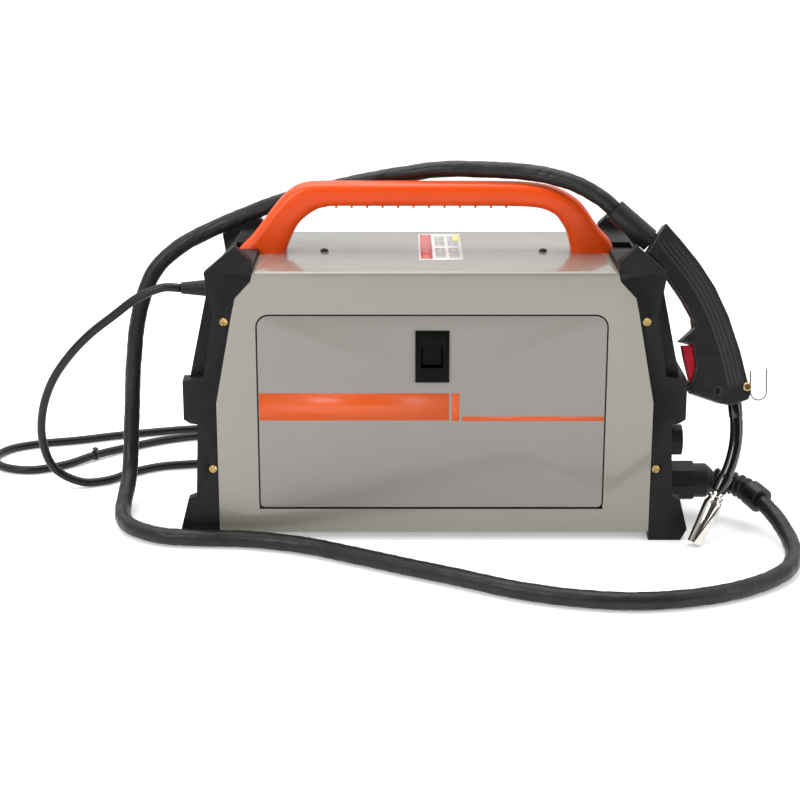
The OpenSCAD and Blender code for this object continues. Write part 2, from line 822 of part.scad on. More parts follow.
module drive_roll() {
    color("#9a9da0") on_feeder() translate([0, 0, -roll_at]) {
        translate([0, feed_y, 0]) roll(shaft_r);
        rod_y(feed_y - 8, partition_y + 12, shaft_r);
        translate([0, feed_y, 0]) rod_y(-8, -5, 8);
    }
}

module pressure_arm() {
    arm_y = [feed_y + 5.5, plate_y - 0.5];
    color("#2a2b2e") on_feeder() difference() {
        union() {
            across(arm_y[0], arm_y[1]) polygon([
                [-38, 6], [-26, 6], [-10, 8], [22, 10], [38, 16], [38, 28],
                [-8, 28], [-28, 20], [-38, 18]]);
            box([23, 38], [feed_y - 7, arm_y[0]], [19, 28]);
            translate([0, 0, roll_at]) {
                rod_y(feed_y - 6.5, arm_y[0], 3);
                rod_y(feed_y - 8.5, feed_y - 5.3, 5);
            }
        }
        translate([arm_pivot[0], 0, arm_pivot[1]]) rod_y(-40, 0, 3 + run_fit);
        translate([30.5, feed_y, 12]) cylinder(h = 20, r = 2.5 + run_fit);
    }
}

module pressure_roll() {
    color("#b2b5b8") on_feeder() translate([0, feed_y, roll_at]) roll(3 + run_fit);
}

module tension_knob() {
    color("#161617") on_feeder() translate([30.5, feed_y, 0]) {
        translate([0, 0, 17]) cylinder(h = 14, r = 2.5);
        translate([0, 0, 28.3]) cylinder(h = 3, r = 6);
        translate([0, 0, 31]) cylinder(h = 18, r = 8.5);
    }
}

module wire_guides() {
    color("#d0a850") on_feeder() {
        for (x = [[-72, -17], [17, 118]]) difference() {
            translate([0, feed_y, 0]) rod_x(x[0], x[1], 2.4);
            translate([0, feed_y, 0]) rod_x(x[0] - 1, x[1] + 1, 0.8);
        }
        for (x = [-47, 30]) difference() {
            box([x, x + 9], [feed_y - 4, plate_y], [-5, 5]);
            translate([0, feed_y, 0]) rod_x(x - 1, x + 10, 2.4);
        }
    }
}

module spool_spindle() {
    color("#3a3a3c") translate([spool_x, 0, spool_z]) {
        rod_y(spool_y - spool_w / 2 - 9, partition_y, spindle_r);
        rod_y(spool_y + spool_w / 2 + 0.3, spool_y + spool_w / 2 + 6, 14);
        rod_y(partition_y - 3, partition_y, 20);
    }
}

module wire_spool() {
    flange = 2.5;
    color("#c98a4b") translate([spool_x, spool_y, spool_z]) difference() {
        union() {
            rod_y(-spool_w / 2, -spool_w / 2 + flange, spool_r);
            rod_y(spool_w / 2 - flange, spool_w / 2, spool_r);
            rod_y(-spool_w / 2 + flange, spool_w / 2 - flange, spool_r - 8);
        }
        rod_y(-spool_w, spool_w, spindle_r + 0.1);
        for (a = [0:60:300]) rotate([0, a, 0]) translate([24, 0, 0]) rod_y(-spool_w, -5, 6);
    }
}

module spool_nut() {
    y = spool_y - spool_w / 2 - 0.3;
    color("#161617") translate([spool_x, 0, spool_z]) difference() {
        union() {
            rod_y(y - 6, y, 14);
            box([-22, 22], [y - 6, y - 1], [-4, 4]);
        }
        rod_y(y - 7, y + 1, spindle_r + 0.05);
    }
}

// ---------- front connections ----------

module output_socket() {
    rod_in = lower_x - wall - 12;
    difference() {
        union() {
            rod_x(rod_in, lower_x - 1, 10);
            rod_x(lower_x - wall, lower_x + 3, socket_r + 3);
            rod_x(lower_x + 3, lower_x + 16, socket_r);
        }
        rod_x(lower_x - 4, lower_x + 17, socket_bore_r);
        rod_x(lower_x + 10, lower_x + 17, 9);
    }
}

module positive_socket() {
    color("#1a1a1b") translate([0, socket_y, socket_z]) output_socket();
}

module negative_socket() {
    color("#1a1a1b") translate([0, -socket_y, socket_z]) output_socket();
}

module torch_gland() {
    color("#1a1a1b") translate([0, gland_y, gland_z]) {
        rod_x(lower_x - wall - 10, lower_x, 12);
        rotate([0, 90, 0]) translate([0, 0, lower_x - wall]) cylinder(h = 5, r = 22);
        rotate([0, 90, 0]) translate([0, 0, lower_x + 2]) cylinder(h = 31, r = 20.5, $fn = 8);
        rod_x(lower_x + 33, 277 - 5, 17);
        translate([272, 0, 0]) rotate([0, 90, 0]) cylinder(h = 5, r1 = 17, r2 = 13);
    }
}

module torch_boot() {
    points = smooth(boot_route, 3);
    last = len(points) - 1;
    color("#151516") tube(points, [for (i = [0:last]) i >= last - 2 ? 13 : 10.5], 12);
}

module torch_lead() {
    color("#262627") lead(torch_route, 1, torch_lead_d, 10);
}

// ---------- torch ----------

module torch_sleeve() {
    color("#1c1c1d") on_torch() translate([sleeve_from[0], 0, sleeve_from[1]])
        rotate([0, -sleeve_dir, 0]) difference() {
            rod_x(0, sleeve_len, 11);
            translate([sleeve_len - 3, -12, 8]) cube([4, 24, 4]);
        }
}

torch_view = [
    [220, 13], [235, -4], [252, -25], [267, -48], [280, -76], [291, -109], [298, -137],
    [302, -147], [299, -155], [283, -161], [272, -159], [246, -150], [243, -144],
    [248.5, -125], [246, -103], [234, -100], [248, -87], [247, -77], [237, -59],
    [225, -41.5], [215, -27], [202, -15]];

// the two screws that hold the halves together, from the far side
torch_screw_at = [[232, -14], [283, -125]];

module torch_half(side) {
    n = side > 0 ? [0, torch_t / 2] : [-torch_t / 2, 0];
    on_torch() difference() {
        across(n[0], n[1]) polygon(torch_view);
        // room for the sleeve, the neck, the trigger and its pin
        translate([sleeve_from[0], 0, sleeve_from[1]]) rotate([0, -sleeve_dir, 0])
            rod_x(0, sleeve_len + 1, 11);
        translate([neck_from[0], 0, neck_from[1]]) rotate([0, 90 - neck_turn0, 0])
            rod_x(-8, 9, neck_r + 0.5);
        box([230, 264], [-5.9, 5.9], [-142, -102.4]);
        translate([trigger_pivot[0], 0, trigger_pivot[1]]) rod_y(-12, 12, 1.5);
        for (p = torch_screw_at) translate([p[0], 0, p[1]])
            rod_y(3 - torch_t / 2, torch_t, 2.1);
        translate([hook_at[0], 0, hook_at[1]]) rod_y(-torch_t, torch_t / 2 - 3, 2.1);
    }
}

module torch_handle_left() {
    color("#1f1f20") torch_half(-1);
}

module torch_handle_right() {
    color("#1f1f20") torch_half(1);
}

module torch_trigger() {
    color("#d8232c") on_torch() difference() {
        across(-5.5, 5.5) polygon([
            [236.5, -103.4], [238.5, -115], [241, -128], [244, -140], [250, -139],
            [256, -130], [257, -112], [256, -103.4]]);
        translate([trigger_pivot[0], 0, trigger_pivot[1]]) rod_y(-12, 12, 1.5 + run_fit);
    }
}

module torch_screws() {
    head = -torch_t / 2;
    color("#c9b26a") on_torch() {
        translate([trigger_pivot[0], 0, trigger_pivot[1]]) rod_y(-11.8, 11.8, 1.5);
        for (p = torch_screw_at) translate([p[0], -head, p[1]]) {
            rotate([-90, 0, 0]) pan_head(3.5, 2);
            rod_y(6 - torch_t, 0, 2);
        }
        translate([hook_at[0], head, hook_at[1]]) {
            rod_y(-2.2, torch_t - 6, 2);
            translate([0, -2.2, 0]) rotate([90, 0, 0]) pan_head(4, 2);
        }
    }
}

// straight in, one bend, straight on to the nozzle
neck_end = [neck_from[0] + neck_lead_in * sin(neck_turn0)
                - neck_bend * cos(neck_turn0) + neck_bend * cos(neck_turn1),
            neck_from[1] - neck_lead_in * cos(neck_turn0)
                - neck_bend * sin(neck_turn0) + neck_bend * sin(neck_turn1)];

// places children at the end of the bend, with +X along the neck
module at_neck_end() {
    on_torch() translate([neck_end[0], 0, neck_end[1]])
        rotate([0, 90 - neck_turn1, 0]) children();
}

module torch_neck() {
    bend_at = [neck_from[0] + neck_lead_in * sin(neck_turn0),
               neck_from[1] - neck_lead_in * cos(neck_turn0)];
    centre = [bend_at[0] - neck_bend * cos(neck_turn0), bend_at[1] - neck_bend * sin(neck_turn0)];
    color("#171718") {
        on_torch() {
            translate([neck_from[0], 0, neck_from[1]]) rotate([0, 90 - neck_turn0, 0])
                rod_x(-7, neck_lead_in + 0.5, neck_r + 0.5);
            translate([centre[0], 0, centre[1]]) rotate([90, 0, 0]) rotate([0, 0, neck_turn1])
                rotate_extrude(angle = neck_turn0 - neck_turn1) translate([neck_bend, 0])
                    circle(neck_r);
        }
        at_neck_end() rod_x(-0.5, nozzle_from, neck_r + 1);
    }
}

nozzle_from = 17;
nozzle_len = 54;

module torch_nozzle() {
    color("#d4d6d8") at_neck_end() difference() {
        union() {
            rod_x(nozzle_from, nozzle_from + 12, 8);
            translate([nozzle_from + 12, 0, 0]) rotate([0, 90, 0])
                cylinder(h = nozzle_len - 12, r1 = 8.8, r2 = 7.2);
        }
        rod_x(nozzle_from + 12, nozzle_from + nozzle_len + 1, 5.9);
        rod_x(nozzle_from - 1, nozzle_from + 13, 4.1);
    }
}

module contact_tip() {
    color("#b87333") at_neck_end() difference() {
        union() {
            rod_x(nozzle_from, nozzle_from + 12, 4.1);
            rod_x(nozzle_from + 12, nozzle_from + 44, 4);
            translate([nozzle_from + 44, 0, 0]) rotate([0, 90, 0])
                cylinder(h = 7, r1 = 4, r2 = 2.4);
        }
        rod_x(nozzle_from - 1, nozzle_from + 52, 0.6);
    }
}

module torch_hook() {
    wire = 0.8;
    n = -torch_t / 2 - 1.1;
    leg = [hook_at[0] + 3.4, hook_at[0] + 18.4];
    low = hook_at[1] - 5;
    color("#cfd2d6") on_torch() translate([0, n, 0]) {
        translate([hook_at[0], 0, hook_at[1]]) rotate([90, 0, 0]) rotate_extrude()
            translate([3.4, 0]) circle(wire);
        translate([leg[0], 0, low]) cylinder(h = 20, r = wire);
        translate([leg[1], 0, low]) cylinder(h = 22, r = wire);
        translate([(leg[0] + leg[1]) / 2, 0, low]) rotate([90, 0, 0]) rotate([0, 0, 180])
            rotate_extrude(angle = 180) translate([(leg[1] - leg[0]) / 2, 0]) circle(wire);
    }
}

// ---------- mains lead ----------

module mains_cable() {
    color("#1b1b1c") {
        lead(mains_route, 1, mains_d, 8);
        lead(tail_route, 1, mains_d, 8);
    }
}

module mains_coil() {
    color("#1b1b1c") translate([coil_at[0], coil_at[1], floor_z]) rotate([0, 0, 90])
        rotate_extrude() translate([coil_r - mains_d - 0.5, 0]) square([2 * mains_d + 1, 23]);
}

module mains_plug() {
    body = 42;
    color("#141415") translate([-35, 265, floor_z + plug_r]) {
        rotate([0, 90, 0]) cylinder(h = 22, r1 = 7, r2 = 14);
        rod_x(22, body, plug_r);
        for (y = [-9.5, 9.5]) translate([0, y, 0]) rod_x(body, body + 19, 2.4);
    }
}

module cable_tie() {
    color("#0c0c0c") translate(tie_at) rotate([0, 0, 45]) {
        difference() {
            rod_x(-1.6, 1.6, 5.6);
            rod_x(-2, 2, mains_d / 2 + 0.1);
        }
        box([-2.2, 2.2], [-2.6, 2.6], [5.4, 8.4]);
    }
}

base_pan();
top_cover();
front_bezel();
rear_bezel();
control_panel();
connector_panel();
rear_panel();
carry_handle();
bezel_screws();
cover_screws();
door_panel();
latch_frame();
latch_paddle();
hinge_pins();
partition();
power_board();
heatsinks();
transformer();
capacitors();
control_board();
fan_frame();
fan_rotor();
fan_guard();
power_switch();
power_rocker();
mains_gland();
gas_inlet();
gas_valve();
feed_motor();
feed_plate();
drive_roll();
pressure_arm();
pressure_roll();
tension_knob();
wire_guides();
spool_spindle();
wire_spool();
spool_nut();
current_knob();
wire_speed_knob();
mode_switch();
display_window();
positive_socket();
negative_socket();
torch_gland();
torch_boot();
torch_lead();
torch_sleeve();
torch_handle_left();
torch_handle_right();
torch_trigger();
torch_neck();
torch_nozzle();
contact_tip();
torch_hook();
torch_screws();
mains_cable();
mains_coil();
mains_plug();
cable_tie();
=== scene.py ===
"""MIG welding machine: materials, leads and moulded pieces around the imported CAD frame."""
import json
import math

import bmesh
import bpy
import numpy as np
from mathutils import Matrix, Vector

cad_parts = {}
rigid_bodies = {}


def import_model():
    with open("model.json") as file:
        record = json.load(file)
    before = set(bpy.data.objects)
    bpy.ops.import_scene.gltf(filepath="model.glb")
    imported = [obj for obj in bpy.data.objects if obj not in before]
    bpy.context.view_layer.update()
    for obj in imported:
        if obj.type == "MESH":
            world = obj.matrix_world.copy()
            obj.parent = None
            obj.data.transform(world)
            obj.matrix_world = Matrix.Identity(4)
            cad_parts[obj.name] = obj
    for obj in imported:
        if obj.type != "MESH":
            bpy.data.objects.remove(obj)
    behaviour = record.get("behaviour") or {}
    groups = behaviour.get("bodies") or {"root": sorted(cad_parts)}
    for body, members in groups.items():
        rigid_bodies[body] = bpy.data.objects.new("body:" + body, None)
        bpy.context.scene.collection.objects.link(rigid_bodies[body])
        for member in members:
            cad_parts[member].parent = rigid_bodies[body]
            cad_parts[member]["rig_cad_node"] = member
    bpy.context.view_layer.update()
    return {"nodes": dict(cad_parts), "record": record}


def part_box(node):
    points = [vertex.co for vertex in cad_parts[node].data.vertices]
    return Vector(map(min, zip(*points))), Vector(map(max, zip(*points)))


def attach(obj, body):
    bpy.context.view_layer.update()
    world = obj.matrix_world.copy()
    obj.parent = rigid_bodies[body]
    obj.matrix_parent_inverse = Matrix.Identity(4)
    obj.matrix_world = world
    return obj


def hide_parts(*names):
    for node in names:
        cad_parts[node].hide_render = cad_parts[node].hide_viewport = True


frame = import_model()
nodes = frame["nodes"]
MM = 0.001

# ---------- places taken from the frame ----------

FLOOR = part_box("front_bezel")[0].z
COVER_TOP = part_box("top_cover")[1].z
DOOR_LOW, DOOR_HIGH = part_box("door_panel")
HANDLE_LOW, HANDLE_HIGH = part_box("carry_handle")

LEAD_D = 17 * MM
MAINS_D = 9 * MM
LEAD_Z = (FLOOR + LEAD_D / 2) / MM         # height of each lead's middle on the floor, in mm
MAINS_Z = (FLOOR + MAINS_D / 2) / MM
TORCH_LEAN = math.radians(15.64)
TORCH_Y = -36
TORCH_Z = 278


def torch_point(x, s, n=0.0):
    """A point of the torch's own leaning plane, in mm in the row frame."""
    return [x, TORCH_Y + s * math.sin(TORCH_LEAN) + n * math.cos(TORCH_LEAN),
            TORCH_Z + s * math.cos(TORCH_LEAN) - n * math.sin(TORCH_LEAN)]


# ---------- camera ----------

CAMERA_AT = (-0.033, -1.726, 0.613)
CAMERA_DOWN = math.radians(16.4)
CAMERA_LENS = 80.55


def make_camera():
    data = bpy.data.cameras.new("camera")
    data.sensor_width = 36
    data.lens = CAMERA_LENS
    cam = bpy.data.objects.new("camera", data)
    cam.location = CAMERA_AT
    cam.rotation_euler = (math.radians(90) - CAMERA_DOWN, 0, 0)
    bpy.context.scene.collection.objects.link(cam)
    bpy.context.scene.camera = cam


make_camera()

# ---------- routes of the leads, in mm ----------

BOOT_ROUTE = [[277.6, -30, 30.4], [289, -30, 30.4], [303, -38, 28], [314, -52, 25], [322, -66, 21]]
TORCH_ROUTE = [
    [322, -66, 21], [333, -95, 12], [338, -133, 3.5], [333, -170, LEAD_Z],
    [316, -206, LEAD_Z], [280, -239, LEAD_Z], [232, -262, LEAD_Z], [177, -272, LEAD_Z],
    [122, -265, LEAD_Z], [70, -246, LEAD_Z], [22, -218, LEAD_Z], [-28, -190, LEAD_Z],
    [-76, -162, LEAD_Z], [-124, -136, LEAD_Z], [-178, -120, LEAD_Z], [-234, -116, LEAD_Z],
    [-267, -108, LEAD_Z], [-298, -81, LEAD_Z], [-310, -40, LEAD_Z], [-310, 14, 24],
    [-309, 38, 78], [-306, 44, 130], [-299, 50, 182], [-283, 54, 224], [-256, 58, 250],
    [-222, 60, 268], [-188, 56, 283], [-150, 44, 299], [-108, 32, 312], [-68, 26, 322],
    [-30, 24, 329], [7, 15, 335.5], [46, 8, 336.5], [86, 0, 335.5], [112, -8, 332.5],
    [137, -17, 326], torch_point(160.4, 37.3), torch_point(172.5, 26.8)]
MAINS_ROUTE = [
    [-250, 10, 218], [-270, 10, 218], [-295, 12, 207], [-320, 16, 188], [-345, 21, 168],
    [-368, 28, 144], [-389, 36, 114], [-402, 44, 80], [-405, 50, 46], [-395, 53, 15],
    [-368, 55, MAINS_Z + 1.8], [-341, 66, MAINS_Z], [-320, 91, MAINS_Z], [-290, 112, MAINS_Z],
    [-250, 122, MAINS_Z], [-213, 138, MAINS_Z], [-193, 171, MAINS_Z], [-204, 207, MAINS_Z],
    [-242, 224, MAINS_Z], [-290, 210, MAINS_Z], [-332, 182, MAINS_Z],
    [-368, 147, MAINS_Z + 1.3], [-396, 117, MAINS_Z], [-430, 99, MAINS_Z],
    [-463, 111, MAINS_Z], [-477, 143, MAINS_Z], [-465, 174, MAINS_Z], [-434, 193, MAINS_Z],
    [-396, 205, MAINS_Z], [-350, 224, MAINS_Z], [-290, 243, MAINS_Z], [-225, 256, MAINS_Z],
    [-158, 263, MAINS_Z]]
TAIL_ROUTE = [[-85, 265, 11.8], [-62, 265, 12], [-48, 265, 12], [-35, 265, 12]]
COIL_AT = (-110, 215)
COIL_R = 54.6
COIL_TURNS = 2


def coil_route():
    """Two turns side by side on the floor, rising at the end to the height of the plug."""
    first, last = 105, 90 - 360 * COIL_TURNS
    steps = 16 * COIL_TURNS
    points = []
    for i in range(steps + 1):
        t = i / steps
        angle = math.radians(first + (last - first) * t)
        inward = min(1, max(0, (t - 0.35) / 0.3))
        rise = max(0, (t - 0.6) / 0.4)
        r = COIL_R - 9.2 * inward + 4.6 * rise
        z = MAINS_Z + 14 * rise * rise * (3 - 2 * rise)
        points.append([COIL_AT[0] + r * math.cos(angle), COIL_AT[1] + r * math.sin(angle), z])
    return points


# ---------- curves and meshes ----------

def smooth(route, n):
    """A smooth curve through the route's points, with n steps between two of them."""
    p = [np.array(q, float) for q in route]
    last = len(p) - 1
    out = []
    for i in range(last):
        a = p[i - 1] if i else 2 * p[0] - p[1]
        b, c = p[i], p[i + 1]
        d = p[i + 2] if i + 2 <= last else 2 * p[last] - p[last - 1]
        for k in range(n):
            t = k / n
            out.append((2 * b + (c - a) * t + (2 * a - 5 * b + 4 * c - d) * t * t
                        + (3 * b - a - 3 * c + d) * t ** 3) / 2)
    out.append(p[last])
    return np.array(out)


def above(points, z):
    """The same points with none lower than z, so that a lead never dips into the floor."""
    points[:, 2] = np.maximum(points[:, 2], z)
    return points


def frames(points):
    """Tangent, normal and side at each point of a path, carried along without twist."""
    t = np.gradient(points, axis=0)
    t /= np.linalg.norm(t, axis=1)[:, None]
    n = np.cross(t[0], [0.3, 0.2, 1])
    normals = []
    for tangent in t:
        n = n - tangent * (n @ tangent)
        n = n / np.linalg.norm(n)
        normals.append(n)
    normals = np.array(normals)
    return t, normals, np.cross(t, normals)


def new_object(name, verts, faces, body="root"):
    """A smooth-shaded mesh that rides on a body of the frame."""
    mesh = bpy.data.meshes.new(name)
    mesh.from_pydata([tuple(v) for v in verts], [], faces)
    mesh.validate()
    mesh.polygons.foreach_set("use_smooth", [True] * len(mesh.polygons))
    obj = bpy.data.objects.new(name, mesh)
    bpy.context.scene.collection.objects.link(obj)
    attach(obj, body)
    return obj


def loft(rings):
    """Vertices and faces of a closed skin over rings with the same number of points."""
    count = len(rings[0])
    verts = [p for ring in rings for p in ring]
    faces = []
    for i in range(len(rings) - 1):
        for k in range(count):
            a, b = i * count + k, i * count + (k + 1) % count
            faces.append((a, b, b + count, a + count))
    faces.append(tuple(range(count - 1, -1, -1)))
    end = (len(rings) - 1) * count
    faces.append(tuple(range(end, end + count)))
    return verts, faces


def tube(name, points_mm, radius_mm, sides=20, body="root"):
    """A tube along points. radius_mm is a number, or a function of distance and angle."""
    points = np.array(points_mm, float)
    t, n, s = frames(points)
    gone = np.concatenate([[0], np.cumsum(np.linalg.norm(np.diff(points, axis=0), axis=1))])
    rings = []
    for i, p in enumerate(points):
        ring = []
        for k in range(sides):
            a = 2 * math.pi * k / sides
            r = radius_mm(gone[i], a) if callable(radius_mm) else radius_mm
            ring.append((p + r * (math.cos(a) * n[i] + math.sin(a) * s[i])) * MM)
        rings.append(ring)
    verts, faces = loft(rings)
    return new_object(name, verts, faces, body), points * MM, gone[-1] * MM


def box_verts(low, high):
    """The eight corners of a box, in the order that BOX_FACES counts on."""
    return [(x, y, z) for x in (low[0], high[0]) for y in (low[1], high[1])
            for z in (low[2], high[2])]


BOX_FACES = [(0, 1, 3, 2), (4, 6, 7, 5), (0, 4, 5, 1), (2, 3, 7, 6), (0, 2, 6, 4), (1, 5, 7, 3)]


def boxes(name, spans, body="root", bevel=0.0):
    """One piece made of boxes, each (low corner, high corner) in mm, with softened edges."""
    verts, faces = [], []
    for low, high in spans:
        start = len(verts)
        verts += [tuple(c * MM for c in v) for v in box_verts(low, high)]
        faces += [tuple(start + i for i in f) for f in BOX_FACES]
    obj = new_object(name, verts, faces, body)
    if bevel:
        soften(obj, bevel)
    return obj


def lathe(name, profile, place, body="root", sides=48):
    """A turned solid: a closed loop of (distance along X, radius), in mm, turned about X."""
    verts, faces, count = [], [], len(profile)
    for k in range(sides):
        a = 2 * math.pi * k / sides
        verts += [place @ Vector((x * MM, r * math.cos(a) * MM, r * math.sin(a) * MM))
                  for x, r in profile]
    for k in range(sides):
        for i in range(count):
            a, b = k * count + i, k * count + (i + 1) % count
            c, d = (b + count) % len(verts), (a + count) % len(verts)
            faces.append((a, b, c, d))
    obj = new_object(name, verts, faces, body)
    soften(obj)
    return obj


def prism(name, outline, low, high, place, body="root", bevel=0.5):
    """An outline of (x, z), in mm, carried from y = low to y = high, then put in its place."""
    verts = [place @ (Vector((x, y, z)) * MM) for y in (low, high) for x, z in outline]
    count = len(outline)
    faces = [tuple(range(count)), tuple(range(2 * count - 1, count - 1, -1))]
    faces += [(k, k + count, (k + 1) % count + count, (k + 1) % count) for k in range(count)]
    obj = new_object(name, verts, faces, body)
    fix_normals(obj)
    soften(obj, bevel)
    return obj


def fix_normals(obj):
    """Turns every face outwards."""
    work = bmesh.new()
    work.from_mesh(obj.data)
    bmesh.ops.recalc_face_normals(work, faces=work.faces)
    work.to_mesh(obj.data)
    work.free()


SMOOTH_ANGLE = math.radians(32)


def smooth_group():
    """A node group that shades smooth, and keeps sharp edges sharp."""
    group = bpy.data.node_groups.new("smooth_by_angle", "GeometryNodeTree")
    group.interface.new_socket("Geometry", in_out="INPUT", socket_type="NodeSocketGeometry")
    group.interface.new_socket("Geometry", in_out="OUTPUT", socket_type="NodeSocketGeometry")
    add, link = group.nodes.new, group.links.new
    start, end = add("NodeGroupInput"), add("NodeGroupOutput")
    faces, edges = add("GeometryNodeSetShadeSmooth"), add("GeometryNodeSetShadeSmooth")
    edges.domain = "EDGE"
    edges.inputs["Shade Smooth"].default_value = False
    angle, compare = add("GeometryNodeInputMeshEdgeAngle"), add("FunctionNodeCompare")
    compare.data_type = "FLOAT"
    compare.operation = "GREATER_THAN"
    compare.inputs["B"].default_value = SMOOTH_ANGLE
    link(start.outputs[0], faces.inputs["Geometry"])
    link(faces.outputs[0], edges.inputs["Geometry"])
    link(angle.outputs["Unsigned Angle"], compare.inputs["A"])
    link(compare.outputs["Result"], edges.inputs["Selection"])
    link(edges.outputs[0], end.inputs[0])
    return group


SMOOTH_GROUP = smooth_group()


def soften(obj, width_mm=0.0, segments=3, weld=False):
    """Rounds an object's edges by width_mm and shades it smooth between sharp edges."""
    if weld:
        obj.modifiers.new("weld", "WELD").merge_threshold = 0.00001
    if width_mm:
        bevel = obj.modifiers.new("bevel", "BEVEL")
        bevel.width = width_mm * MM
        bevel.segments = segments
        bevel.limit_method = "ANGLE"
        bevel.angle_limit = math.radians(35)
        bevel.use_clamp_overlap = True
    obj.modifiers.new("smooth", "NODES").node_group = SMOOTH_GROUP


# ---------- materials ----------

def shader(name):
    """A new material, with its node tree and its main shader."""
    mat = bpy.data.materials.new(name)
    mat.use_nodes = True
    tree = mat.node_tree
    return mat, tree, tree.nodes["Principled BSDF"]


def noise(tree, scale, detail=3.0, stretch=(1, 1, 1)):
    """Noise over the object's own coordinates. scale is in cycles a metre."""
    where = tree.nodes.new("ShaderNodeTexCoord")
    mapping = tree.nodes.new("ShaderNodeMapping")
    mapping.inputs["Scale"].default_value = stretch
    texture = tree.nodes.new("ShaderNodeTexNoise")
    texture.inputs["Scale"].default_value = scale
    texture.inputs["Detail"].default_value = detail
    tree.links.new(where.outputs["Object"], mapping.inputs["Vector"])
    tree.links.new(mapping.outputs[0], texture.inputs["Vector"])
    return texture.outputs["Fac"]


def ramp(tree, value, low, high, start=0.35, end=0.65):
    """Turns a value into a colour between low and high."""
    node = tree.nodes.new("ShaderNodeValToRGB")
    node.color_ramp.elements[0].position = start
    node.color_ramp.elements[1].position = end
    node.color_ramp.elements[0].color = (*low, 1)
    node.color_ramp.elements[1].color = (*high, 1)
    tree.links.new(value, node.inputs[0])
    return node.outputs[0]


def remap(tree, value, low, high):
    """Spreads a noise value over the range from low to high."""
    node = tree.nodes.new("ShaderNodeMapRange")
    node.inputs["From Min"].default_value = 0.3
    node.inputs["From Max"].default_value = 0.7
    node.inputs["To Min"].default_value = low
    node.inputs["To Max"].default_value = high
    tree.links.new(value, node.inputs["Value"])
    return node.outputs[0]


def bump(tree, height, depth_mm, normal=None):
    """A surface relief of depth_mm, laid over another one if normal is given."""
    node = tree.nodes.new("ShaderNodeBump")
    node.inputs["Strength"].default_value = 1.0
    node.inputs["Distance"].default_value = depth_mm * MM
    tree.links.new(height, node.inputs["Height"])
    if normal is not None:
        tree.links.new(normal, node.inputs["Normal"])
    return node.outputs[0]


def shade(color, k):
    """The colour made k times as bright."""
    return tuple(min(1.0, c * k) for c in color)


def surface(name, color, rough, vary=0.06, spread=0.05, blotch=9, grain=900, grain_mm=0.02,
            metallic=0.0, coat=0.0, stretch=(1, 1, 1), specular=0.5):
    """The shared recipe: blotchy colour, uneven roughness and a fine grain in the surface."""
    mat, tree, bsdf = shader(name)
    broad = noise(tree, blotch, 4.0)
    fine = noise(tree, grain, 2.0, stretch)
    tree.links.new(ramp(tree, broad, shade(color, 1 - vary), shade(color, 1 + vary)),
                   bsdf.inputs["Base Color"])
    tree.links.new(remap(tree, noise(tree, blotch * 7, 3.0), rough - spread, rough + spread),
                   bsdf.inputs["Roughness"])
    tree.links.new(bump(tree, fine, grain_mm), bsdf.inputs["Normal"])
    bsdf.inputs["Metallic"].default_value = metallic
    bsdf.inputs["Coat Weight"].default_value = coat
    bsdf.inputs["Coat Roughness"].default_value = 0.08
    bsdf.inputs["Specular IOR Level"].default_value = specular
    return mat


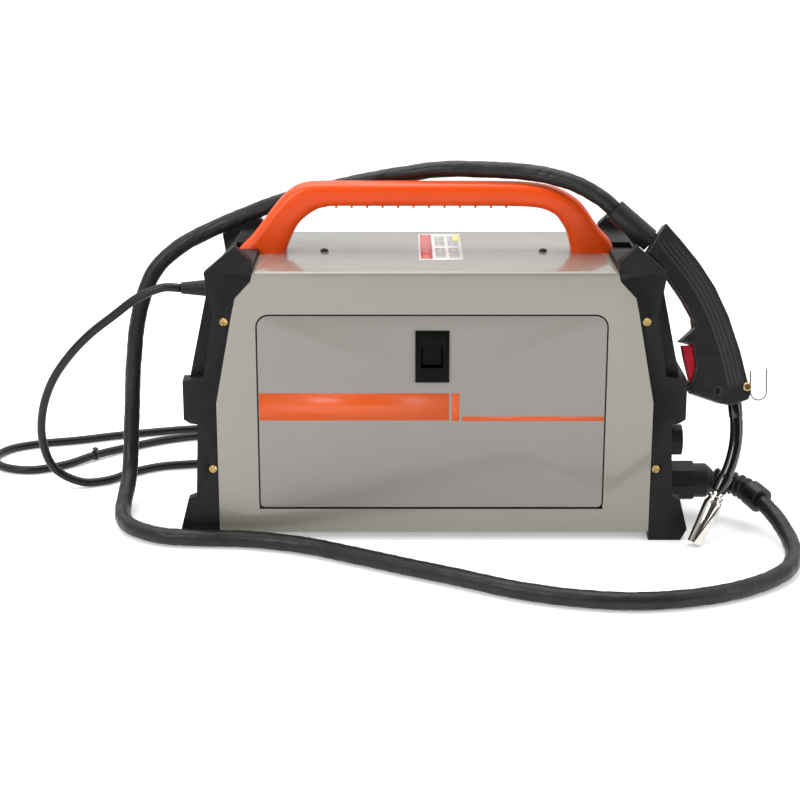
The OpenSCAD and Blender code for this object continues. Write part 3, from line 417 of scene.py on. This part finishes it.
BLACK = (0.0062, 0.0057, 0.0055)
MATERIALS = {
    "cover_paint": surface("cover_paint", (0.235, 0.224, 0.188), 0.33, 0.02, 0.03, 5, 700, 0.008,
                           coat=0.8),
    "door_paint": surface("door_paint", (0.232, 0.212, 0.192), 0.34, 0.02, 0.03, 4, 800, 0.008,
                          coat=0.3),
    "inner_steel": surface("inner_steel", (0.36, 0.36, 0.35), 0.42, 0.05, 0.06, 20, 600, 0.01,
                           metallic=0.6),
    "bezel_plastic": surface("bezel_plastic", BLACK, 0.5, 0.15, 0.06, 14, 1500, 0.05,
                             specular=0.22),
    "panel_plastic": surface("panel_plastic", (0.009, 0.009, 0.010), 0.45, 0.1, 0.05, 20, 1300,
                             0.04, specular=0.25),
    "handle_plastic": surface("handle_plastic", (0.76, 0.068, 0.003), 0.33, 0.03, 0.04, 10, 1200,
                              0.015, specular=0.3),
    "zinc_screw": surface("zinc_screw", (0.42, 0.30, 0.12), 0.3, 0.35, 0.1, 420, 2600, 0.02,
                          metallic=1.0),
    "black_screw": surface("black_screw", BLACK, 0.35, 0.2, 0.1, 160, 2600, 0.02),
    "latch_plastic": surface("latch_plastic", (0.0016, 0.0013, 0.0012), 0.3, 0.1, 0.05, 30, 1600,
                             0.015, specular=0.08),
    "bright_steel": surface("bright_steel", (0.60, 0.60, 0.61), 0.3, 0.06, 0.08, 60, 1500, 0.01,
                            metallic=1.0, stretch=(1, 0.1, 1)),
    "chrome_plate": surface("chrome_plate", (0.70, 0.67, 0.62), 0.09, 0.08, 0.04, 90, 900, 0.006,
                            metallic=1.0),
    "neck_enamel": surface("neck_enamel", (0.004, 0.004, 0.004), 0.16, 0.1, 0.04, 40, 700, 0.004,
                           coat=0.3, specular=0.5),
    "hook_wire": surface("hook_wire", (0.30, 0.30, 0.31), 0.22, 0.1, 0.06, 120, 1500, 0.006,
                         metallic=1.0),
    "circuit_board": surface("circuit_board", (0.02, 0.13, 0.045), 0.35, 0.15, 0.08, 60, 900,
                             0.05),
    "bare_aluminium": surface("bare_aluminium", (0.64, 0.65, 0.66), 0.38, 0.05, 0.08, 40, 1400,
                              0.015, metallic=1.0, stretch=(0.08, 1, 1)),
    "coil_varnish": surface("coil_varnish", (0.24, 0.10, 0.035), 0.4, 0.2, 0.1, 60, 700, 0.15,
                            stretch=(1, 1, 3)),
    "capacitor_sleeve": surface("capacitor_sleeve", (0.03, 0.05, 0.12), 0.28, 0.1, 0.05, 60, 900,
                                0.02),
    "brass_fitting": surface("brass_fitting", (0.78, 0.56, 0.22), 0.28, 0.08, 0.08, 80, 1800,
                             0.015, metallic=1.0),
    "copper_tip": surface("copper_tip", (0.80, 0.40, 0.22), 0.3, 0.12, 0.08, 120, 1800, 0.015,
                          metallic=1.0),
    "motor_case": surface("motor_case", (0.03, 0.03, 0.033), 0.34, 0.1, 0.08, 30, 900, 0.02),
    "spool_plastic": surface("spool_plastic", (0.03, 0.03, 0.033), 0.42, 0.1, 0.05, 30, 1300,
                             0.03),
    "knob_plastic": surface("knob_plastic", (0.008, 0.008, 0.008), 0.36, 0.1, 0.05, 40, 1500,
                            0.03),
    "mode_plastic": surface("mode_plastic", (0.62, 0.09, 0.02), 0.34, 0.05, 0.05, 40, 1500, 0.02),
    "window_plastic": surface("window_plastic", (0.05, 0.004, 0.008), 0.1, 0.1, 0.03, 30, 500,
                              0.003, coat=0.6),
    "switch_red": surface("switch_red", (0.62, 0.015, 0.012), 0.28, 0.05, 0.04, 40, 900, 0.01),
    "torch_plastic": surface("torch_plastic", (0.013, 0.012, 0.012), 0.38, 0.12, 0.07, 25, 1500,
                             0.03, specular=0.35),
    "trigger_plastic": surface("trigger_plastic", (0.62, 0.012, 0.035), 0.33, 0.06, 0.05, 50,
                               1500, 0.03),
    "boot_rubber": surface("boot_rubber", (0.006, 0.006, 0.006), 0.42, 0.15, 0.08, 60, 1200, 0.04,
                           specular=0.4),
    "plug_rubber": surface("plug_rubber", (0.013, 0.013, 0.014), 0.5, 0.12, 0.06, 40, 1200, 0.05),
    "tie_nylon": surface("tie_nylon", (0.010, 0.010, 0.010), 0.32, 0.1, 0.05, 60, 900, 0.02),
}


def lead_rubber(name, color, rough, fold_mm, fold_scale):
    """A soft sheath: fine grain over broad, shallow folds, with painted highlight on the tops of
    the folds and painted shade in their low places.
    """
    mat, tree, bsdf = shader(name)
    folds = noise(tree, fold_scale, 5.0)
    grain = noise(tree, 1400, 2.0)
    # painted highlight and painted shade: the colour is lighter where the folds stand high and
    # darker where they lie low
    tree.links.new(ramp(tree, folds, shade(color, 0.8), shade(color, 1.35)),
                   bsdf.inputs["Base Color"])
    tree.links.new(remap(tree, folds, rough + 0.1, rough - 0.08), bsdf.inputs["Roughness"])
    low = bump(tree, folds, fold_mm)
    tree.links.new(bump(tree, grain, 0.04, low), bsdf.inputs["Normal"])
    bsdf.inputs["Specular IOR Level"].default_value = 0.3
    return mat


MATERIALS["lead_rubber"] = lead_rubber("lead_rubber", (0.011, 0.0105, 0.0105), 0.4, 0.9, 60)
MATERIALS["mains_rubber"] = lead_rubber("mains_rubber", (0.006, 0.006, 0.006), 0.36, 0.08, 60)
# painted shade: the dull black of the strip that darkens the gap round the door
MATERIALS["gap_shade_black"] = surface("gap_shade_black", (0.004, 0.004, 0.004), 0.7, 0.2, 0.05, 60,
                                      900, 0.02, specular=0.2)
MATERIALS["copper_wire"] = surface("copper_wire", (0.78, 0.42, 0.26), 0.3, 0.08, 0.08, 40, 1200,
                                   0.02, metallic=1.0, stretch=(1, 4, 1))
MATERIALS["digit_red"] = surface("digit_red", (0.34, 0.02, 0.02), 0.25, 0.1, 0.05, 60, 900, 0.005)
MATERIALS["stripe_paint"] = surface("stripe_paint", (0.64, 0.085, 0.006), 0.36, 0.02, 0.03, 8, 900,
                                    0.01)
MATERIALS["label_white"] = surface("label_white", (0.80, 0.79, 0.77), 0.3, 0.02, 0.03, 15, 800,
                                   0.005)
MATERIALS["label_red"] = surface("label_red", (0.62, 0.14, 0.13), 0.32, 0.05, 0.03, 20, 800, 0.005)
MATERIALS["label_grey"] = surface("label_grey", (0.36, 0.34, 0.36), 0.32, 0.05, 0.03, 20, 800,
                                  0.005)
MATERIALS["label_yellow"] = surface("label_yellow", (0.80, 0.68, 0.20), 0.32, 0.04, 0.03, 20, 800,
                                    0.005)


def dress(obj, material):
    """Gives an object its material."""
    obj.data.materials.clear()
    obj.data.materials.append(MATERIALS[material])
    return obj


# how far each node's edges are rounded, in mm, where it isn't USUAL_EDGE_MM
USUAL_EDGE_MM = 0.4
EDGE_MM = {
    "top_cover": 0.25, "front_bezel": 1.6, "rear_bezel": 1.6, "door_panel": 0.4,
    "latch_frame": 0.9, "latch_paddle": 0.6, "base_pan": 0.3, "partition": 0.3,
    "rear_panel": 0.3, "control_panel": 0.5, "torch_trigger": 1.2, "torch_gland": 1.0,
    "torch_sleeve": 0.8, "current_knob": 0.8, "wire_speed_knob": 0.8, "mode_switch": 0.6,
    "mains_plug": 1.0, "torch_hook": 0.0, "fan_guard": 0.0, "bezel_screws": 0.2,
    "torch_screws": 0.2, "cover_screws": 0.2, "power_rocker": 0.6, "spool_nut": 0.8,
}

# nodes whose look isn't that of their slot
OWN_MATERIAL = {"torch_hook": "hook_wire", "torch_neck": "neck_enamel"}


def dress_cad_nodes():
    """Gives each CAD node its material and its rounded edges."""
    for row in frame["record"]["subparts"]:
        obj = nodes[row["node"]]
        dress(obj, OWN_MATERIAL.get(row["node"], row["material_slot"]))
        soften(obj, EDGE_MM.get(row["node"], USUAL_EDGE_MM), weld=True)


# ---------- leads ----------

def make_torch_lead():
    """The thick lead from the boot, along the floor and over the handle to the torch."""
    points = above(smooth(TORCH_ROUTE, 14), LEAD_Z)
    rng = np.random.default_rng(7)
    waves = [(rng.uniform(9, 48), int(rng.integers(1, 6)), rng.uniform(0, 6.28),
              rng.uniform(0.5, 1)) for _ in range(12)]

    def radius(gone, angle):
        """A loose cover over the hose: shallow folds that wander round it as they run."""
        fold = sum(size * math.sin(2 * math.pi * gone / wave + around * angle + phase
                                   + math.sin(gone / 37 + phase))
                   for wave, around, phase, size in waves) / 3.2
        return LEAD_D / MM / 2 - 0.4 + 0.3 * math.tanh(1.6 * fold) - 0.55 * max(0, fold - 0.35)

    obj, path, length = tube("torch_lead_cover", points, radius, 28)
    dress(obj, "lead_rubber")
    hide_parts("torch_lead")


MAINS_SKIN = 0.1      # mm by which the mains lead's skin stays inside the CAD's


def make_mains_lead():
    """The thin lead from the rear panel to the coil and the plug."""
    route = MAINS_ROUTE + coil_route() + TAIL_ROUTE
    points = above(smooth(route, 6), MAINS_Z)
    obj, path, length = tube("mains_lead", points, MAINS_D / MM / 2 - MAINS_SKIN, 16)
    dress(obj, "mains_rubber")
    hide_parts("mains_cable", "mains_coil")


def make_torch_boot():
    """The ribbed rubber boot between the gland and the torch lead, with its end cap."""
    points = smooth(BOOT_ROUTE, 30)
    pitch, cap_from, cap_to = 7.6, 44, 64
    core_r, rib_h, cap_r = 8.2, 3.6, 12.9

    def radius(gone, angle):
        if gone > cap_from:
            edge = max(0, min(gone - cap_from, cap_to - gone)) / 1.6
            return cap_r - 3.9 * (1 - min(1, edge) ** 0.5)
        wave = 0.5 + 0.5 * math.cos(2 * math.pi * gone / pitch)
        return core_r + rib_h * wave ** 0.8

    obj, _, _ = tube("torch_boot_ribbed", points, radius, 36)
    soften(obj)
    dress(obj, "boot_rubber")
    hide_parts("torch_boot")


# ---------- carrying handle ----------

def superellipse(width, height, power, count):
    """Points round a soft rectangle, in its own width and height axes."""
    ring = []
    for k in range(count):
        a = 2 * math.pi * (k + 0.5) / count
        c, s = math.cos(a), math.sin(a)
        ring.append((math.copysign(abs(c) ** (2 / power), c) * width / 2,
                     math.copysign(abs(s) ** (2 / power), s) * height / 2))
    return ring


def make_handle():
    """The bow handle: soft rectangles between its outer line and its inner line."""
    low, top = HANDLE_LOW.z / MM, HANDLE_HIGH.z / MM
    width = (HANDLE_HIGH.y - HANDLE_LOW.y) / MM
    grip = top - 23
    pairs = [[(-192, low), (-144, low)], [(-188, low + 5), (-143, low + 4)],
             [(-178, 273), (-138, 274)], [(-167, 287), (-132, 285)],
             [(-155, 303), (-124, 293)], [(-143, 316), (-114, 299.5)],
             [(-130, 323.5), (-105, 302)], [(-112, top), (-96, grip)], [(-60, top), (-60, grip)],
             [(0, top), (0, grip)], [(50, top), (50, grip)], [(84, 325.4), (80, 302.7)],
             [(108, 322.8), (98, 301.6)], [(126, 317), (109, 299)], [(141, 307.5), (118, 294)],
             [(150, 297), (124, 286.5)], [(156, 288), (128.5, 279)], [(162.5, 279.5), (131, 272)],
             [(170, 271.5), (132.8, 265)], [(174.6, 264), (133.6, 261)], [(176, low), (134, low)]]
    outer = smooth([(p[0][0], 0, p[0][1]) for p in pairs], 6)
    inner = smooth([(p[1][0], 0, p[1][1]) for p in pairs], 6)
    rings = []
    for o, i in zip(outer, inner):
        middle, across = (o + i) / 2, o - i
        height = np.linalg.norm(across)
        up = across / height
        ring = [(middle + np.array([0, w, 0]) + up * h) * MM
                for w, h in superellipse(width, height, 3.6, 36)]
        rings.append([np.array([q[0], q[1], max(q[2], low * MM)]) for q in ring])
    verts, faces = loft(rings)
    obj = new_object("carry_handle_bow", verts, faces)
    soften(obj)
    dress(obj, "handle_plastic")
    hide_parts("carry_handle")
    teeth = [((x, -9, grip - 1.6), (x + 2.2, 9, grip + 1.5)) for x in range(-96, 80, 15)]
    ribs = boxes("handle_grip_ribs", teeth, bevel=0.7)
    dress(ribs, "handle_plastic")


# ---------- torch handle ----------

TORCH_BACK = [(214, 12), (222, 12), (235, -4), (252, -25), (267, -48), (280, -76), (291, -109),
              (298, -137), (301, -147)]


def torch_frame():
    """The matrix from the torch's own axes (along X, across, up the plane) to the row frame."""
    return (Matrix.Translation(Vector((0, TORCH_Y, TORCH_Z)) * MM)
            @ Matrix.Rotation(-TORCH_LEAN, 4, "X"))


def make_torch_handle():
    """The two moulded halves, rounded, with long grooves down each side."""
    back = smooth([(x, 0, s) for x, s in TORCH_BACK], 8)[:, [0, 2]] * MM
    to_world = torch_frame()
    to_local = to_world.inverted()
    for name in ("torch_handle_left", "torch_handle_right"):
        mesh = nodes[name].data.copy()
        obj = bpy.data.objects.new(name + "_moulded", mesh)
        bpy.context.scene.collection.objects.link(obj)
        bpy.context.view_layer.objects.active = obj
        remesh = obj.modifiers.new("remesh", "REMESH")
        remesh.mode = "VOXEL"
        remesh.voxel_size = 0.9 * MM
        relax = obj.modifiers.new("relax", "SMOOTH")
        relax.factor = 0.5
        relax.iterations = 9
        graph = bpy.context.evaluated_depsgraph_get()
        made = bpy.data.meshes.new_from_object(obj.evaluated_get(graph))
        obj.modifiers.clear()
        obj.data = made
        groove(obj, back, to_local, to_world)
        made.polygons.foreach_set("use_smooth", [True] * len(made.polygons))
        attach(obj, "root")
        dress(obj, "torch_plastic")
        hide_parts(name)


SIDE_Y = 12.3                       # from here outwards a point is on one of the flat sides
GROOVES_AT = (5.5, 9.5, 13.5, 17.5)  # distances from the back line
GROOVE_HALF_W, GROOVE_DEEP = 0.8, 1.2
GROOVES_LOW, GROOVES_HIGH = -150, 2
HOLE_AT, HOLE_HALF_W, HOLE_DEEP = (270, -147), 3, 3.5


def groove(obj, back, to_local, to_world):
    """Presses grooves and a small square hole into the flat sides, by the back line."""
    for v in obj.data.vertices:
        p = to_local @ v.co
        if abs(p.y) < SIDE_Y * MM:
            continue
        gap = np.linalg.norm(back - np.array([p.x, p.z]), axis=1).min() / MM
        along = p.z / MM
        if max(abs(p.x / MM - HOLE_AT[0]), abs(along - HOLE_AT[1])) < HOLE_HALF_W and p.y < 0:
            p.y += HOLE_DEEP * MM
            v.co = to_world @ p
            continue
        if not GROOVES_LOW < along < GROOVES_HIGH:
            continue
        fade = min(1, (along - GROOVES_LOW) / 12, (GROOVES_HIGH - along) / 12)
        press = sum(math.exp(-((gap - at) / GROOVE_HALF_W) ** 2) for at in GROOVES_AT)
        p.y -= math.copysign(GROOVE_DEEP * MM * press * fade, p.y)
        v.co = to_world @ p


def make_torch_clip():
    """The small lug at the rear corner of the torch handle."""
    clip = [(219.5, 9.8), (222.6, 6), (220.4, 4.2), (217.4, 7.8)]
    dress(prism("torch_rear_lug", clip, -15.1, -13.5, torch_frame(), bevel=0.35), "torch_plastic")


def make_trigger():
    """The trigger blade, with fine ridges across its curved front."""
    front = smooth([(236.5, 0, -103.5), (237.2, 0, -109), (238.6, 0, -116), (240.4, 0, -124),
                    (242.3, 0, -132), (244.2, 0, -139.8)], 12)
    outline = []
    for i, (x, _, z) in enumerate(front):
        ridge = 0.45 * (0.5 + 0.5 * math.cos(2 * math.pi * i / 4)) if 6 < i < 54 else 0
        outline.append((x + 0.05 + ridge, z))
    outline += [(250, -139), (256, -130), (257, -112), (256, -103.5)]
    blade = prism("trigger_blade", outline, -5.45, 5.45, torch_frame(), "trigger", 0.25)
    dress(blade, "trigger_plastic")
    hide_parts("torch_trigger")


NOZZLE_FROM = 17
NECK_END = (279.76, -228.9)
NECK_TILT = math.radians(115)


def make_nozzle():
    """The turned gas nozzle, with the stepped rings of its holder, and a thin open end."""
    place = (torch_frame() @ Matrix.Translation(Vector((NECK_END[0], 0, NECK_END[1])) * MM)
             @ Matrix.Rotation(NECK_TILT, 4, "Y"))
    a = NOZZLE_FROM
    rings = [(a, 4.2), (a, 5.4), (a + 0.6, 6.2), (a + 2.4, 6.2), (a + 2.9, 5.2), (a + 4.0, 5.2),
             (a + 4.4, 7.3), (a + 5.2, 7.9), (a + 6.6, 7.9), (a + 7.2, 7.0), (a + 8.4, 7.0),
             (a + 8.8, 7.6), (a + 12.2, 8.7), (a + 13.5, 8.8), (a + 53.4, 7.25), (a + 54, 7.0),
             (a + 54, 6.1), (a + 53, 5.9), (a + 12.4, 5.9), (a + 12.4, 4.2)]
    obj = lathe("nozzle_turned", rings, place, sides=56)
    dress(obj, "chrome_plate")
    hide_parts("torch_nozzle")


# ---------- door, label, fine details ----------

DOOR_CORNER = 11 * MM         # the round of the CAD door's corners
CORNER_POWER = 7              # how square the drawn-out corners are


def make_door():
    """The door, with its two lower corners drawn out to fill the squarer opening there."""
    obj = bpy.data.objects.new("door_panel_formed", nodes["door_panel"].data.copy())
    bpy.context.scene.collection.objects.link(obj)
    for v in obj.data.vertices:
        x = DOOR_CORNER - min(v.co.x - DOOR_LOW.x, DOOR_HIGH.x - v.co.x)
        z = DOOR_CORNER - (v.co.z - DOOR_LOW.z)
        if min(x, z) > 0 and math.hypot(x, z) > 0.98 * DOOR_CORNER:
            out = DOOR_CORNER / (x ** CORNER_POWER + z ** CORNER_POWER) ** (1 / CORNER_POWER) - 1
            v.co.x += math.copysign(out * x, v.co.x)
            v.co.z -= out * z
    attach(obj, "door")
    soften(obj, EDGE_MM["door_panel"], weld=True)
    dress(obj, "door_paint")
    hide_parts("door_panel")


def make_door_gap_shade():
    """A black strip in the gap round the door, on three sides, clear of the hinge side: painted
    shade that keeps the gap dark.
    """
    x0, x1 = DOOR_LOW.x / MM, DOOR_HIGH.x / MM
    z0, z1, corner = 30, DOOR_HIGH.z / MM, DOOR_CORNER / MM
    inner, outer = -98.83, -99.5
    path = []
    for grow in (0.12, 1.4):
        line = [(x0 - grow, z0)]
        for cx, start in ((x0 + corner, 180), (x1 - corner, 90)):
            line += [(cx + (corner + grow) * math.cos(math.radians(start - k * 9)),
                      z1 - corner + (corner + grow) * math.sin(math.radians(start - k * 9)))
                     for k in range(11)]
        path.append(line + [(x1 + grow, z0)])
    verts = [(x * MM, y * MM, z * MM) for y in (inner, outer) for line in path for x, z in line]
    n = len(path[0])
    faces = []
    for k in range(n - 1):
        for a, b in ((0, n), (3 * n, 2 * n), (2 * n, 0), (n, 3 * n)):
            faces.append((a + k, a + k + 1, b + k + 1, b + k))
    faces += [(0, n, 3 * n, 2 * n), (n - 1, 3 * n - 1, 4 * n - 1, 2 * n - 1)]
    obj = new_object("door_gap_shade", verts, faces)
    fix_normals(obj)
    soften(obj)
    dress(obj, "gap_shade_black")


def make_winding():
    """The wire wound on the spool, turn beside turn."""
    low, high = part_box("wire_spool")
    middle = (low + high) / 2
    half = (high.y - low.y) / 2 / MM - 2.6
    core_r, wound_r, wire_pitch = 38.0, 42.0, 1.1
    loop = [(-half, core_r), (-half, wound_r)]
    turns = int(2 * half / wire_pitch)
    for k in range(turns):
        x = -half + (k + 0.5) * 2 * half / turns
        loop += [(x - 0.3, wound_r + 0.4), (x, wound_r + 0.75), (x + 0.3, wound_r + 0.4)]
    loop += [(half, wound_r), (half, core_r)]
    place = Matrix.Translation(middle) @ Matrix.Rotation(math.radians(90), 4, "Z")
    dress(lathe("spool_winding", loop, place, "spool", 72), "copper_wire")


PANEL_AT = (213.5, 0, 194)
PANEL_LEAN = math.radians(-12.3)


def panel_place():
    """The matrix from the sloping control panel's own axes (out, across, up) to the row frame."""
    return Matrix.Translation(Vector(PANEL_AT) * MM) @ Matrix.Rotation(PANEL_LEAN, 4, "Y")


def plates(name, spans, place, body="root"):
    """Thin plates, each (low corner, high corner) in mm, in a frame of their own."""
    verts, faces = [], []
    for low, high in spans:
        start = len(verts)
        verts += [place @ (Vector(v) * MM) for v in box_verts(low, high)]
        faces += [tuple(start + i for i in f) for f in BOX_FACES]
    return new_object(name, verts, faces, body)


def make_panel_marks():
    """Tick marks round the knobs, and two unlit digits in each half of the window."""
    face = panel_place()
    verts, faces = [], []
    for y, z, r, count in ((-42, -12, 15.2, 11), (42, -12, 15.2, 11), (0, -14, 10.6, 3)):
        for k in range(count):
            angle = math.radians(225 - 270 * k / (count - 1))
            along = Vector((0, math.cos(angle), math.sin(angle)))
            across = Vector((0, -math.sin(angle), math.cos(angle)))
            foot = Vector((0.02, y, z)) + along * r
            start = len(verts)
            for out in (0, 0.12):
                for a, b in ((0, -0.35), (2.2, -0.35), (2.2, 0.35), (0, 0.35)):
                    verts.append(face @ ((foot + along * a + across * b
                                          + Vector((out, 0, 0))) * MM))
            faces += [tuple(start + i for i in f) for f in
                      ((0, 1, 2, 3), (7, 6, 5, 4), (0, 4, 5, 1), (1, 5, 6, 2), (2, 6, 7, 3),
                       (3, 7, 4, 0))]
    ticks = new_object("panel_ticks", verts, faces)
    fix_normals(ticks)
    dress(ticks, "label_white")
    bars = []
    half_w, thick, levels = 3, 0.6, (12, 18, 24)
    for middle in (-21, -9, 9, 21):
        left, right = middle - half_w, middle + half_w
        bars += [((0.52, left, z - thick), (0.62, right, z + thick)) for z in levels]
        for y in (left, right):
            for low, high in zip(levels, levels[1:]):
                bars.append(((0.52, y - thick, low + 1), (0.62, y + thick, high - 1)))
    dress(plates("display_digits", bars, face), "digit_red")


def make_door_stripes():
    """The three painted bands on the door, as thin skins on its face."""
    face = DOOR_LOW.y / MM
    left, right = DOOR_LOW.x / MM + 0.4, DOOR_HIGH.x / MM - 0.4
    spans = [((left, face - 0.12, 114.2), (13.6, face - 0.02, 141)),
             ((16.2, face - 0.12, 113.7), (23.1, face - 0.02, 141)),
             ((26, face - 0.12, 113.7), (right, face - 0.02, 118))]
    dress(boxes("door_stripes", spans, "door"), "stripe_paint")


def make_top_label():
    """A printed rating plate without any lettering: coloured fields and rows of short bars."""
    z = COVER_TOP / MM
    x0, x1, y0, y1 = -14.5, 28, -45, 83
    base = boxes("label_base", [((x0, y0, z + 0.02), (x1, y1, z + 0.12))])
    dress(base, "label_white")
    red = boxes("label_red_field", [((x0 + 1.5, y0 + 4, z + 0.12), (x0 + 13, y1 - 4, z + 0.18))])
    dress(red, "label_red")
    fields = []
    for col in (x0 + 16, x0 + 29):
        for row in (y0 + 10, y0 + 68):
            fields += [((col, row + k * 7, z + 0.12), (col + 10, row + k * 7 + 4.5, z + 0.18))
                       for k in range(7)]
    dress(boxes("label_bars", fields), "label_grey")
    corner = boxes("label_corner", [((x1 - 8, y1 - 36, z + 0.19), (x1 - 1, y1 - 6, z + 0.24))])
    dress(corner, "label_yellow")


# ---------- floor and light ----------

def world_light():
    """A bright room with a darker band low down, so that polished metal has something to show."""
    world = bpy.data.worlds.new("studio")
    world.use_nodes = True
    tree = world.node_tree
    add, link = tree.nodes.new, tree.links.new
    where, split = add("ShaderNodeTexCoord"), add("ShaderNodeSeparateXYZ")
    link(where.outputs["Generated"], split.inputs[0])
    height = add("ShaderNodeValToRGB")
    stops = height.color_ramp.elements
    stops[0].position, stops[0].color = 0.0, (0.45, 0.45, 0.45, 1)
    stops[1].position, stops[1].color = 0.7, (1.0, 1.0, 1.0, 1)
    stops.new(0.10).color = (0.5, 0.5, 0.5, 1)
    front = add("ShaderNodeMapRange")
    front.inputs["From Min"].default_value = -0.75
    front.inputs["From Max"].default_value = 0.0
    front.inputs["To Min"].default_value = 0.12
    front.inputs["To Max"].default_value = 1.3
    both = add("ShaderNodeVectorMath")
    both.operation = "SCALE"
    link(split.outputs["Z"], height.inputs[0])
    link(split.outputs["Y"], front.inputs["Value"])
    link(height.outputs[0], both.inputs[0])
    link(front.outputs[0], both.inputs["Scale"])
    link(both.outputs[0], tree.nodes["Background"].inputs[0])
    tree.nodes["Background"].inputs[1].default_value = 1.0
    bpy.context.scene.world = world
    bpy.context.scene.view_settings.view_transform = "Standard"


def make_stage():
    """The white floor, out past every view's horizon, and the world."""
    bpy.ops.mesh.primitive_plane_add(size=80, location=(0, 0, FLOOR - 0.0003))
    floor = bpy.context.object
    floor.name = "floor"
    mat, tree, bsdf = shader("floor")
    tree.links.new(ramp(tree, noise(tree, 2, 2.0), (0.86, 0.86, 0.86), (0.88, 0.88, 0.88)),
                   bsdf.inputs["Base Color"])
    bsdf.inputs["Roughness"].default_value = 0.9
    bsdf.inputs["Emission Color"].default_value = (1, 1, 1, 1)
    bsdf.inputs["Emission Strength"].default_value = 0.3
    floor.data.materials.append(mat)
    world_light()


def area_light(name, place, target, size, power):
    """A rectangular lamp at a place, turned towards the target."""
    data = bpy.data.lights.new(name, "AREA")
    data.shape = "RECTANGLE"
    data.size, data.size_y = size
    data.energy = power
    lamp = bpy.data.objects.new(name, data)
    lamp.location = place
    lamp.rotation_euler = (Vector(target) - Vector(place)).to_track_quat("-Z", "Y").to_euler()
    bpy.context.scene.collection.objects.link(lamp)


def make_lights():
    middle = (0, 0, 0.15)
    area_light("key", (-0.3, 0.4, 2.2), middle, (2.4, 2.0), 40)
    area_light("front_left", (-1.6, -2.0, 1.5), middle, (1.1, 1.1), 34)
    area_light("right_strip", (1.9, -1.0, 0.9), middle, (0.4, 1.6), 12)


make_torch_lead()
make_mains_lead()
dress_cad_nodes()
make_torch_boot()
make_handle()
make_torch_handle()
make_torch_clip()
make_trigger()
make_nozzle()
make_door()
make_door_gap_shade()
make_door_stripes()
make_top_label()
make_winding()
make_panel_marks()
make_stage()
make_lights()
